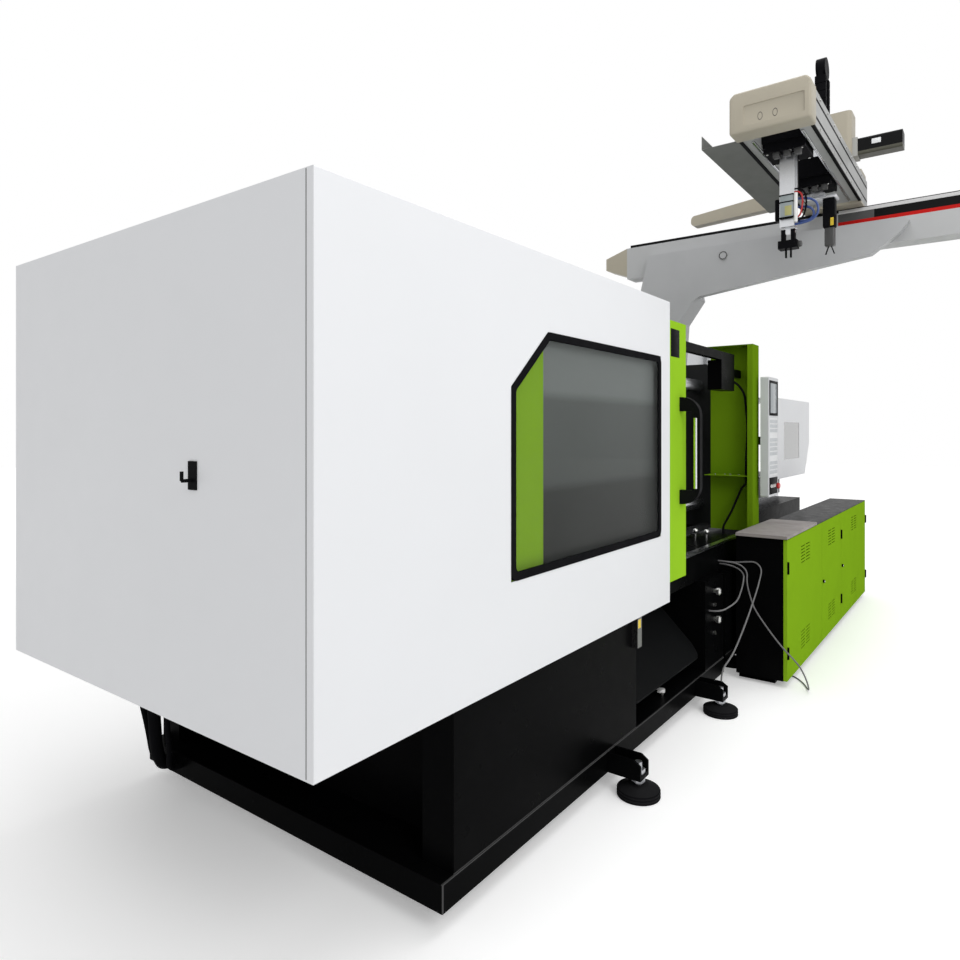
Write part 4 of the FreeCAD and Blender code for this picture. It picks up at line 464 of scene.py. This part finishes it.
def soft_line(name, points, radius, finish):
    """A round cable or tube along the smooth curve that its points pull into shape."""
    data = bpy.data.curves.new(name, "CURVE")
    data.dimensions = "3D"
    data.bevel_depth = radius
    data.bevel_resolution = ROUND_STEPS
    data.resolution_u = CURVE_STEPS
    spline = data.splines.new("NURBS")
    spline.points.add(len(points) - 1)
    for target, point in zip(spline.points, points):
        target.co = (*at(*point), 1.0)
    spline.order_u = 3
    spline.use_endpoint_u = True
    data.use_fill_caps = True
    data.materials.append(finish.material)
    item = bpy.data.objects.new(name, data)
    bpy.context.scene.collection.objects.link(item)
    return item


def curve_length(points):
    """The length of the curve that soft_line draws: a parabola round each point between the two ends."""
    total = 0.0
    last = Vector(points[0])
    middles = [Vector(points[0])]
    middles += [(Vector(a) + Vector(b)) / 2 for a, b in zip(points[1:-2], points[2:-1])]
    middles.append(Vector(points[-1]))
    for start, bend, end in zip(middles[:-1], points[1:-1], middles[1:]):
        for step in range(1, LENGTH_STEPS + 1):
            share = step / LENGTH_STEPS
            place = start * (1 - share) ** 2 + Vector(bend) * 2 * share * (1 - share) + end * share ** 2
            total += (place - last).length
            last = place
    return total


def lay_cord(name, route, radius, finish, body, slot_name):
    """A cord that rides with a body."""
    line = soft_line(name, route, radius, finish)
    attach(line, body)
    tuple(at(*route[0]))
    curve_length(route)
    radius * 2
    return line


for label, route, lay in (("post_cable", POST_CABLE, "hanging"), ("foot_cable", FOOT_CABLE, "hanging"),
                          ("floor_cable", FLOOR_CABLE, "loose")):
    sheath = lay_cord(label + "_sheath", route, CABLE_RADIUS, grey_cable, "machine", "grey_cable")
    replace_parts(sheath, label)


# Modelling helpers -----------------------------------------------------------------------------------------

SOFT_ANGLE = math.radians(35)
CUT_ANGLE = math.radians(30)
FACING = 0.9
SAME_PLACE = 0.001


def deselect():
    bpy.ops.object.select_all(action="DESELECT")


def pick(item):
    """Selects one item alone and makes it the active one."""
    deselect()
    item.select_set(True)
    bpy.context.view_layer.objects.active = item


def settled(name):
    """Names the new primitive and puts its place, turn and size into its mesh."""
    bpy.ops.object.transform_apply(location=True, rotation=True, scale=True)
    item = bpy.context.object
    item.name = name
    return item


def soften(item, width, segments=2):
    """Rounds an item's sharp edges and shades it smooth."""
    pick(item)
    rounding = item.modifiers.new("rounding", "BEVEL")
    rounding.width = width
    rounding.segments = segments
    rounding.limit_method = "ANGLE"
    bpy.ops.object.modifier_apply(modifier=rounding.name)
    bpy.ops.object.shade_smooth_by_angle(angle=SOFT_ANGLE)
    return item


def block(name, low, high, edge, segments=2):
    """A box between two places on the machine, with its edges rounded unless their radius is 0."""
    low, high = at(*low), at(*high)
    deselect()
    bpy.ops.mesh.primitive_cube_add(size=1, location=(low + high) / 2, scale=high - low)
    item = settled(name)
    return soften(item, edge, segments) if edge else item


def edit(item, kind, test, *steps):
    """Selects the faces or the edges that pass a test, and runs the edit-mode steps on them."""
    pick(item)
    bpy.ops.object.mode_set(mode="EDIT")
    bpy.ops.mesh.select_mode(type=kind)
    bpy.ops.mesh.select_all(action="DESELECT")
    bpy.ops.object.mode_set(mode="OBJECT")
    for part in item.data.polygons if kind == "FACE" else item.data.edges:
        part.select = test(part)
    bpy.ops.object.mode_set(mode="EDIT")
    for step in steps:
        step()
    bpy.ops.object.mode_set(mode="OBJECT")


def facing(axis, sign):
    """A test for faces that look along an axis."""
    return lambda face: face.normal[axis] * sign > FACING


def shoulder(item, height):
    """A test for an item's edges above a height that don't run across the machine."""
    def test(edge):
        one, other = (item.data.vertices[index].co for index in edge.vertices)
        return min(one.z, other.z) > height and abs(one.y - other.y) < SAME_PLACE
    return test


def inset(amount):
    """An edit-mode step that sets the chosen faces in from their edges."""
    return lambda: bpy.ops.mesh.inset(thickness=amount, depth=0)


def push(vector):
    """An edit-mode step that pushes the chosen faces out or in."""
    return lambda: bpy.ops.mesh.extrude_region_move(TRANSFORM_OT_translate={"value": vector})


def cut_back(width):
    """An edit-mode step that cuts the chosen edges back to a slope."""
    return lambda: bpy.ops.mesh.bevel(offset=width, segments=1)


TURN = {"x": (0, math.pi / 2, 0), "y": (math.pi / 2, 0, 0), "z": (0, 0, 0)}


def disc(name, axis, centre, radius, depth, sides=24):
    """A short round bar along an axis."""
    deselect()
    bpy.ops.mesh.primitive_cylinder_add(vertices=sides, radius=radius, depth=depth, location=at(*centre),
                                        rotation=TURN[axis])
    return settled(name)


def join(name, items):
    """Joins several items into one piece."""
    deselect()
    for item in items:
        item.select_set(True)
    bpy.context.view_layer.objects.active = items[0]
    if len(items) > 1:
        bpy.ops.object.join()
    items[0].name = name
    return items[0]


def subtract(item, tool):
    """Cuts a tool's shape out of an item and removes the tool."""
    pick(item)
    cutter = item.modifiers.new("cut", "BOOLEAN")
    cutter.object = tool
    cutter.operation = "DIFFERENCE"
    bpy.ops.object.modifier_apply(modifier=cutter.name)
    bpy.data.objects.remove(tool)
    bpy.ops.object.shade_smooth_by_angle(angle=CUT_ANGLE)


def ring(name, axis, centre, radius, thick, sides=40):
    """A thin round ring about an axis."""
    deselect()
    bpy.ops.mesh.primitive_torus_add(major_radius=radius, minor_radius=thick, major_segments=sides,
                                     minor_segments=6, location=at(*centre), rotation=TURN[axis])
    return settled(name)


def copies(item, shifts):
    """Copies of an item, each with its own mesh moved by a vector, joined with it."""
    made = [item]
    for shift in shifts:
        twin = item.copy()
        twin.data = item.data.copy()
        for vertex in twin.data.vertices:
            vertex.co += Vector(shift)
        bpy.context.scene.collection.objects.link(twin)
        made.append(twin)
    return join(item.name, made)


def dress(item, finish, body):
    """Finishes a piece and makes it ride with a body."""
    item.data.materials.clear()
    item.data.materials.append(finish.material)
    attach(item, body)
    return item


# A socket head screw: its head's height, its socket's rim and its rounding as shares of the head's radius,
# and the socket's depth as a share of that height.
HEAD_HEIGHT = 1.1
SOCKET_RIM = 0.42
SOCKET_DEPTH = 0.55
HEAD_ROUNDING = 0.1


def cap_screw(name, axis, centre, radius, sign):
    """A socket head screw that looks along an axis, with its round socket sunk in."""
    height = radius * HEAD_HEIGHT
    head = disc(name, axis, centre, radius, height, sides=18)
    number = "xyz".index(axis)
    along = [0, 0, 0]
    along[number] = -sign * height * SOCKET_DEPTH
    edit(head, "FACE", facing(number, sign), inset(radius * SOCKET_RIM), push(along))
    return soften(head, radius * HEAD_ROUNDING, 1)


# Operator panel --------------------------------------------------------------------------------------------

PANEL_FACE = -0.931
SCREEN_X = (3.712, 3.915)
SCREEN_Z = (1.598, 1.828)
SCREEN_MARGIN = 0.017
BEZEL_RIM = 0.016
KEYS_Z = (1.215, 1.570)
KEYS_MARGIN = 0.012
FIRST_KEY_X = (3.722, 3.742)
FIRST_KEY_Z = (1.215, 1.237)
KEY_PITCH = (0.0272, 0.0303)
KEY_COLUMNS = 7
KEY_ROWS = 12
BLANK_ROWS = (3, 8)
LOWER_PLATE_Z = (1.080, 1.190)
BUTTON_PLACE = (3.735, PANEL_FACE - 0.005, 1.135)
BUTTON_PITCH = 0.033


def grown(span, margin):
    """A span with a margin added at both ends."""
    return (span[0] - margin, span[1] + margin)


def panel_plate(name, across, up, proud, sunk, edge=0):
    """A plate on the panel's face that stands proud of it and goes a little way into it."""
    low = (across[0], PANEL_FACE - proud, up[0])
    high = (across[1], PANEL_FACE + sunk, up[1])
    return block(name, low, high, edge=edge)


def panel_details():
    """The screen in its bezel, the key field and the row of push buttons beside the stop button."""
    bezel = panel_plate("panel_bezel", SCREEN_X, SCREEN_Z, proud=0.004, sunk=0.002)
    edit(bezel, "FACE", facing(1, -1), inset(BEZEL_RIM), push((0, 0.003, 0)))
    dress(soften(bezel, 0.0015), black_plastic, "operator_panel")
    glass = panel_plate("panel_screen", grown(SCREEN_X, -SCREEN_MARGIN), grown(SCREEN_Z, -SCREEN_MARGIN),
                        proud=0.0024, sunk=-0.0008, edge=0.0004)
    dress(glass, screen_grey, "operator_panel")
    field = panel_plate("key_field", SCREEN_X, grown(KEYS_Z, KEYS_MARGIN), proud=0.0015, sunk=0.001,
                        edge=0.0008)
    dress(field, key_white, "operator_panel")
    key = panel_plate("membrane_keys", FIRST_KEY_X, FIRST_KEY_Z, proud=0.0035, sunk=-0.001)
    edit(key, "FACE", facing(1, -1), inset(0.003), push((0, -0.0008, 0)))
    soften(key, 0.0006, 1)
    shifts = [(column * KEY_PITCH[0], 0, row * KEY_PITCH[1])
              for column in range(KEY_COLUMNS) for row in range(KEY_ROWS)
              if (column or row) and row not in BLANK_ROWS]
    dress(copies(key, shifts), key_grey, "operator_panel")
    foot = panel_plate("panel_lower_plate", SCREEN_X, LOWER_PLATE_Z, proud=0.0015, sunk=0.001, edge=0.001)
    dress(foot, black_plastic, "operator_panel")
    button = disc("push_buttons", "y", BUTTON_PLACE, radius=0.013, depth=0.008)
    edit(button, "FACE", facing(1, -1), inset(0.003), push((0, 0.002, 0)))
    soften(button, 0.0008, 1)
    row = copies(button, [(BUTTON_PITCH * step, 0, 0) for step in (1, 2, 3)])
    dress(row, nickel, "operator_panel")


# Guards and gates ------------------------------------------------------------------------------------------

GUARD_SCREW = (3.650, -0.700, 1.206)
GUARD_SCREW_SHIFTS = ((0.05, -0.04, 0), (0, 0.10, 0), (0.05, 0.05, 0))
GATE_LABEL_PLACE = ((2.285, -0.8272, 1.870), (2.400, -0.8255, 2.010))


def guard_details():
    """Screws on the guards' shelves, and the bare label place on the gate."""
    screw = cap_screw("guard_screws", "z", GUARD_SCREW, radius=0.006, sign=1)
    dress(copies(screw, GUARD_SCREW_SHIFTS), nickel, "machine")
    plate = block("gate_label_place", *GATE_LABEL_PLACE, edge=0.0006)
    dress(plate, black_plastic, "front_gate")


# Robot -----------------------------------------------------------------------------------------------------

FIRST_LINK = ((3.260, -1.3505, 3.110), (3.290, -1.3455, 3.152))
CHAIN_ALONG = 0.090
CHAIN_ACROSS = 0.053
LINK_PITCH = 0.0454
LINKS = 9


def chain_details():
    """Side plates on the links of the upright cable chain."""
    link = block("chain_plates", *FIRST_LINK, edge=0)
    edit(link, "FACE", facing(1, -1), inset(0.006), push((0, 0.0015, 0)))
    soften(link, 0.0015, 1)
    shifts = [(along, across, step * LINK_PITCH)
              for across in (0, CHAIN_ACROSS) for along in (0, CHAIN_ALONG) for step in range(LINKS)]
    dress(copies(link, shifts[1:]), black_plastic, "main_slide")


PEDESTAL_SCREW = (3.9725, -0.180, 2.120)
PEDESTAL_SCREW_SHIFTS = ((0, 0.30, 0), (0, 0, 0.12), (0, 0.28, 0.12))
BEAM_SCREW = (2.700, -1.4298, 3.130)
BEAM_SCREW_PITCH = 0.18
BEAM_SCREW_DROP = 0.145
BEAM_SCREWS = 8


def beam_screws():
    """Socket screws along the cross beam's side and on the pedestal's face."""
    screw = cap_screw("pedestal_screws", "x", PEDESTAL_SCREW, radius=0.012, sign=-1)
    dress(copies(screw, PEDESTAL_SCREW_SHIFTS), nickel, "machine")
    screw = cap_screw("cross_beam_screws", "y", BEAM_SCREW, radius=0.006, sign=-1)
    shifts = [(step * BEAM_SCREW_PITCH, 0, drop)
              for drop in (0, -BEAM_SCREW_DROP) for step in range(BEAM_SCREWS)]
    dress(copies(screw, shifts[1:]), nickel, "robot_head")


CAP = ((2.440, -1.4395, 2.9585), (2.562, -1.0635, 3.1615))
CAP_SHOULDER = 0.022
CAP_TOP = 3.16
CAP_RECESS = ((2.420, -1.412, 2.990), (2.447, -1.132, 3.088))
OVALS_Y = (-1.210, -1.279)
OVALS_Z = 3.023
OVAL_STRETCH = 1.7


def end_cap():
    """The cross beam's soft cream cap with sloped shoulders, a recessed front and two moulded ovals."""
    cap = block("cream_end_cap", *CAP, edge=0)
    edit(cap, "EDGE", shoulder(cap, CAP_TOP), cut_back(CAP_SHOULDER))
    soften(cap, 0.012, 4)
    subtract(cap, block("cap_recess", *CAP_RECESS, edge=0.007))
    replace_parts(dress(cap, cream_paint, "robot_head"), "cross_beam_cap")
    ovals = []
    for y in OVALS_Y:
        centre = (CAP_RECESS[1][0], y, OVALS_Z)
        oval = ring("cap_ovals", "x", centre, radius=0.0105, thick=0.001, sides=28)
        for vertex in oval.data.vertices:
            vertex.co.z = OVALS_Z + (vertex.co.z - OVALS_Z) * OVAL_STRETCH
        ovals.append(oval)
    dress(join("cap_ovals", ovals), tool_grey, "robot_head")


GROOVES_X = (2.580, 4.180)
GROOVES_Y = ((-1.4290, -1.4278), (-1.0752, -1.0740))
GROOVES_Z = ((3.010, 3.022), (3.098, 3.110))
STRIPS_X = (2.600, 3.900)
STRIPS_Y = ((-1.375, -1.361), (-1.142, -1.128))
STRIPS_Z = ((2.962, 2.971),)
SEALS_X = (2.570, 3.960)
SEALS_Y = ((-1.428, -1.412), (-1.091, -1.075))
SEALS_Z = ((2.964, 2.971),)
SERVO_PLATE = ((3.9945, -1.533, 3.328), (3.9965, -1.481, 3.359))


def bars(name, along, across, up, edge=0):
    """Bars along the cross beam, one for each pair of sides and pair of heights, joined into one piece."""
    return join(name, [block(name, (along[0], near, low), (along[1], far, high), edge=edge)
                       for near, far in across for low, high in up])


def cross_beam_details():
    """Grooves along the beam's sides, strips under its members and the bare plate on the servo motor."""
    grooves = bars("beam_grooves", GROOVES_X, GROOVES_Y, GROOVES_Z)
    dress(grooves, black_plastic, "robot_head")
    strips = bars("beam_strips", STRIPS_X, STRIPS_Y, STRIPS_Z, edge=0.001)
    dress(strips, ground, "robot_head")
    seals = bars("beam_seals", SEALS_X, SEALS_Y, SEALS_Z)
    dress(seals, black_plastic, "robot_head")
    dress(block("servo_plate", *SERVO_PLATE, edge=0.0005), key_white, "robot_head")


HEAD_Y = -1.2515
SLIDE_LOW = 2.940
SLIDE_THICK = 0.050
SLIDE_HALF = 0.100
SLIDE_Y = (-1.352, -1.150)
ARM_HOLE = 0.039
HOLE_SPARE = 0.01
SLIDE_SCREW = (-0.085, -1.335, SLIDE_LOW - 0.003)
SLIDE_SCREW_SHIFTS = [(along, across, 0) for along in (0, 0.170) for across in (0, 0.055, 0.115, 0.168)]
VALVE_X = (-0.092, -0.060)
VALVE_Y = (-0.080, -0.048)
VALVE_HEIGHT = 0.030
VALVE_SHIFTS = ((0, 0.052, 0), (0, 0.104, 0))
SLIDES = (("sub_slide", 2.830), ("main_slide", 3.490))


def slide_details():
    """Plates, screws and valves under the two slides between the cross beam's members."""
    top = SLIDE_LOW + SLIDE_THICK
    for body, x in SLIDES:
        plate = block(body + "_plate", (x - SLIDE_HALF, SLIDE_Y[0], SLIDE_LOW),
                      (x + SLIDE_HALF, SLIDE_Y[1], top), edge=0)
        opening = block(body + "_opening", (x - ARM_HOLE, HEAD_Y - ARM_HOLE, SLIDE_LOW - HOLE_SPARE),
                        (x + ARM_HOLE, HEAD_Y + ARM_HOLE, top + HOLE_SPARE), edge=0)
        subtract(plate, opening)
        dress(plate, black_plastic, body)
        first = (x + SLIDE_SCREW[0], *SLIDE_SCREW[1:])
        screw = cap_screw(body + "_screws", "z", first, radius=0.006, sign=-1)
        dress(copies(screw, SLIDE_SCREW_SHIFTS[1:]), nickel, body)
        valve = block(body + "_valve", (x + VALVE_X[0], HEAD_Y + VALVE_Y[0], SLIDE_LOW - VALVE_HEIGHT),
                      (x + VALVE_X[1], HEAD_Y + VALVE_Y[1], SLIDE_LOW), edge=0.003)
        dress(copies(valve, VALVE_SHIFTS), tool_grey, body)


ARM_FACE = 2.794
FLIP_CYLINDER = ((ARM_FACE - 0.020, -1.285, 2.600), (ARM_FACE, -1.222, 2.722))
FLIP_PATCH = ((ARM_FACE - 0.0212, -1.279, 2.612), (ARM_FACE - 0.0195, -1.246, 2.662))
BAND_X = (ARM_FACE - 0.0225, ARM_FACE + 0.002)
BAND_Y = (-1.2885, -1.2185)
BAND_HEIGHT = 0.006
BANDS_Z = (2.600, 2.680, 2.716)
ARM_CLAMP = ((2.800, -1.2160, 2.600), (2.850, -1.190, 2.712))
ARM_CYLINDER = (2.786, -1.296, 2.650)
GRIPPER_KNOB = (2.830, -1.307, 2.470)
WIRE_RADIUS = 0.0045
TUBE_RADIUS = 0.006
SUB_WIRES = (
    ("red_signal_wire", [(2.800, -1.2865, 2.735), (2.800, -1.312, 2.735), (2.800, -1.328, 2.700),
                         (2.800, -1.324, 2.645), (2.800, -1.312, 2.600), (2.800, -1.2865, 2.600)],
     WIRE_RADIUS, red_wire, "red_plastic"),
    ("black_signal_wire", [(2.806, -1.2865, 2.752), (2.806, -1.322, 2.752), (2.806, -1.345, 2.700),
                           (2.806, -1.340, 2.630), (2.806, -1.318, 2.585), (2.806, -1.2865, 2.585)],
     WIRE_RADIUS, rubber, "black_rubber"),
    ("blue_air_tube_high", [(2.812, -1.2865, 2.700), (2.812, -1.340, 2.700), (2.812, -1.392, 2.672),
                            (2.812, -1.402, 2.610), (2.812, -1.360, 2.570), (2.812, -1.2865, 2.570)],
     TUBE_RADIUS, blue_tube, "grey_cable"),
    ("blue_air_tube_low", [(2.822, -1.2865, 2.660), (2.822, -1.330, 2.660), (2.822, -1.372, 2.640),
                           (2.822, -1.378, 2.600), (2.822, -1.345, 2.578), (2.822, -1.2865, 2.588)],
     TUBE_RADIUS, blue_tube, "grey_cable"))


def sub_arm_details():
    """The flip cylinder, its clamps, marks and tubes on the sub arm, and the knob on the gripper."""
    dress(block("flip_cylinder", *FLIP_CYLINDER, edge=0.004), air_block, "sub_arm")
    dress(block("flip_patch", *FLIP_PATCH, edge=0.0004), pale_mark, "sub_arm")
    bands = [block("cylinder_bands", (BAND_X[0], BAND_Y[0], z), (BAND_X[1], BAND_Y[1], z + BAND_HEIGHT),
                   edge=0.001) for z in BANDS_Z]
    dress(join("cylinder_bands", bands), black_plastic, "sub_arm")
    dress(block("arm_clamp", *ARM_CLAMP, edge=0.006), black_plastic, "sub_arm")
    tube = disc("arm_cylinder", "z", ARM_CYLINDER, radius=0.010, depth=0.150)
    dress(soften(tube, 0.002), white_plastic, "sub_arm")
    for name, route, radius, finish, slot_name in SUB_WIRES:
        lay_cord(name, route, radius, finish, "sub_arm", slot_name)
    knob = disc("gripper_knob", "y", GRIPPER_KNOB, radius=0.016, depth=0.020)
    dress(soften(knob, 0.004), tool_grey, "gripper")


TOOL_CARRIER = ((3.440, -1.372, 2.868), (3.540, -1.200, 2.885))
PINCH_HEAD = ((3.458, -1.362, 2.700), (3.522, -1.296, 2.868))
PINCH_MARK = ((3.4565, -1.356, 2.706), (3.459, -1.338, 2.752))
PINCH_BODY = ((3.464, -1.358, 2.590), (3.516, -1.304, 2.700))
FINGER = ((3.485, -1.334, 2.545), (3.495, -1.328, 2.595))
FINGER_GAP = 0.006
FINGER_SPREAD = 0.35


def main_arm_details():
    """The pinch gripper that hangs from the main arm's tooling plate."""
    dress(block("tool_carrier", *TOOL_CARRIER, edge=0.003), anodised, "main_arm")
    dress(block("pinch_head", *PINCH_HEAD, edge=0.006), black_plastic, "main_arm")
    dress(block("pinch_mark", *PINCH_MARK, edge=0.0005), yellow_mark, "main_arm")
    dress(block("pinch_body", *PINCH_BODY, edge=0.008, segments=3), tool_grey, "main_arm")
    fingers = []
    for side in (-1, 1):
        finger = block("pinch_fingers", *FINGER, edge=0)
        for vertex in finger.data.vertices:
            vertex.co.y += side * (FINGER_GAP + (FINGER[1][2] - vertex.co.z) * FINGER_SPREAD)
        fingers.append(finger)
    dress(join("pinch_fingers", fingers), black_plastic, "main_arm")


# Covers, bed and cabinet -----------------------------------------------------------------------------------

COVER_SEAM = ((-0.0006, -0.8302, 0.673), (0.001, -0.8278, 2.121))


def cover_details():
    """The seam beside the end cover's front corner."""
    dress(block("cover_seam", *COVER_SEAM, edge=0), tool_grey, "machine")


LOCKS = (("door_middle", 4.255), ("door_right", 4.965))
LOCK_Y = -1.1585
LOCK_Z = 0.4525
DOOR_GAPS_X = (4.220, 4.930)
GAP_HALF = 0.0015
GAP_Y = (-1.1478, -1.128)
GAP_Z = (0.044, 0.861)


def cabinet_details():
    """Bright lock plugs on the doors and the dark gaps between them."""
    for body, x in LOCKS:
        plug = disc(body + "_lock", "y", (x, LOCK_Y, LOCK_Z), radius=0.007, depth=0.006)
        dress(soften(plug, 0.001, 1), nickel, body)
    gaps = [block("door_gaps", (x - GAP_HALF, GAP_Y[0], GAP_Z[0]), (x + GAP_HALF, GAP_Y[1], GAP_Z[1]), edge=0)
            for x in DOOR_GAPS_X]
    dress(join("door_gaps", gaps), black_plastic, "machine")


FEET_X = (1.620, 2.665)
FEET_Y = (-0.950, 0.950)
RIMS = ((0.004, 0.0862), (0.017, 0.0862), (0.029, 0.0858))


def pad_details():
    """Three rounded rims round each of four levelling pads, each at its height and with its radius."""
    rims = [ring("pad_rims", "z", (x, y, height), radius, thick=0.0028)
            for x in FEET_X for y in FEET_Y for height, radius in RIMS]
    dress(join("pad_rims", rims), rubber, "machine")


HUB = (3.969, -0.550, 2.750)


def hub_details():
    """A dark ring round the hub on the robot's bracket."""
    dress(ring("hub_ring", "x", HUB, radius=0.026, thick=0.003), tool_grey, "machine")


# Stage -----------------------------------------------------------------------------------------------------

FLOOR_HALF = 30.0
AMBIENT = 0.62
FLOOR_LIFT = 0.28
FAR_LIFT = 0.5
FAR_FLOOR = (4.5, 9.0)


def seen_directly(finish):
    """1 for what the camera, a mirror or a pane shows."""
    camera = finish.add("ShaderNodeLightPath", {}, output="Is Camera Ray")
    glossy = finish.add("ShaderNodeLightPath", {}, output="Is Glossy Ray")
    through = finish.add("ShaderNodeLightPath", {}, output="Is Transmission Ray")
    return camera.either(glossy).either(through)


def set_stage():
    """A pale floor that keeps the machine's shadow, with the studio round it."""
    deselect()
    bpy.ops.mesh.primitive_plane_add(size=2 * FLOOR_HALF, location=(0, 0, 0))
    floor = bpy.context.object
    floor.name = "floor"
    pale = Finish("pale_floor", (0.95, 0.95, 0.95), 0.9)
    shown = seen_directly(pale)
    reach = pale.axis("X").size().either(pale.axis("Y").size())
    lift = pale.blend(pale.fit(reach, *FAR_FLOOR), (FLOOR_LIFT,) * 3, (FAR_LIFT,) * 3)
    pale.put("Emission Color", pale.blend(shown, (0.0, 0.0, 0.0), lift))
    pale.put("Emission Strength", 1.0)
    floor.data.materials.append(pale.material)
    set_world()


def set_world():
    """A white studio, at full level where it is seen and at AMBIENT where it lights the machine."""
    world = bpy.data.worlds.new("studio")
    world.use_nodes = True
    bpy.context.scene.world = world
    links = world.node_tree.links
    path = world.node_tree.nodes.new("ShaderNodeLightPath")
    seen = world.node_tree.nodes.new("ShaderNodeMath")
    seen.operation = "MAXIMUM"
    level = world.node_tree.nodes.new("ShaderNodeMapRange")
    level.inputs["To Min"].default_value = AMBIENT
    links.new(path.outputs["Is Camera Ray"], seen.inputs[0])
    links.new(path.outputs["Is Glossy Ray"], seen.inputs[1])
    links.new(seen.outputs[0], level.inputs["Value"])
    background = world.node_tree.nodes["Background"]
    background.inputs["Color"].default_value = (1, 1, 1, 1)
    links.new(level.outputs["Result"], background.inputs["Strength"])
    bpy.context.scene.view_settings.view_transform = "Standard"


panel_details()
guard_details()
chain_details()
beam_screws()
end_cap()
cross_beam_details()
slide_details()
sub_arm_details()
main_arm_details()
cover_details()
cabinet_details()
pad_details()
hub_details()
set_camera()
set_stage()
lamp("front_softbox", at(-0.5, -5.2, 4.5), at(2.2, 0, 1.0), size=3.0, power=105)
lamp("overhead_softbox", at(3.0, -1.0, 6.5), at(3.0, 0, 1.0), size=5.0, power=160)
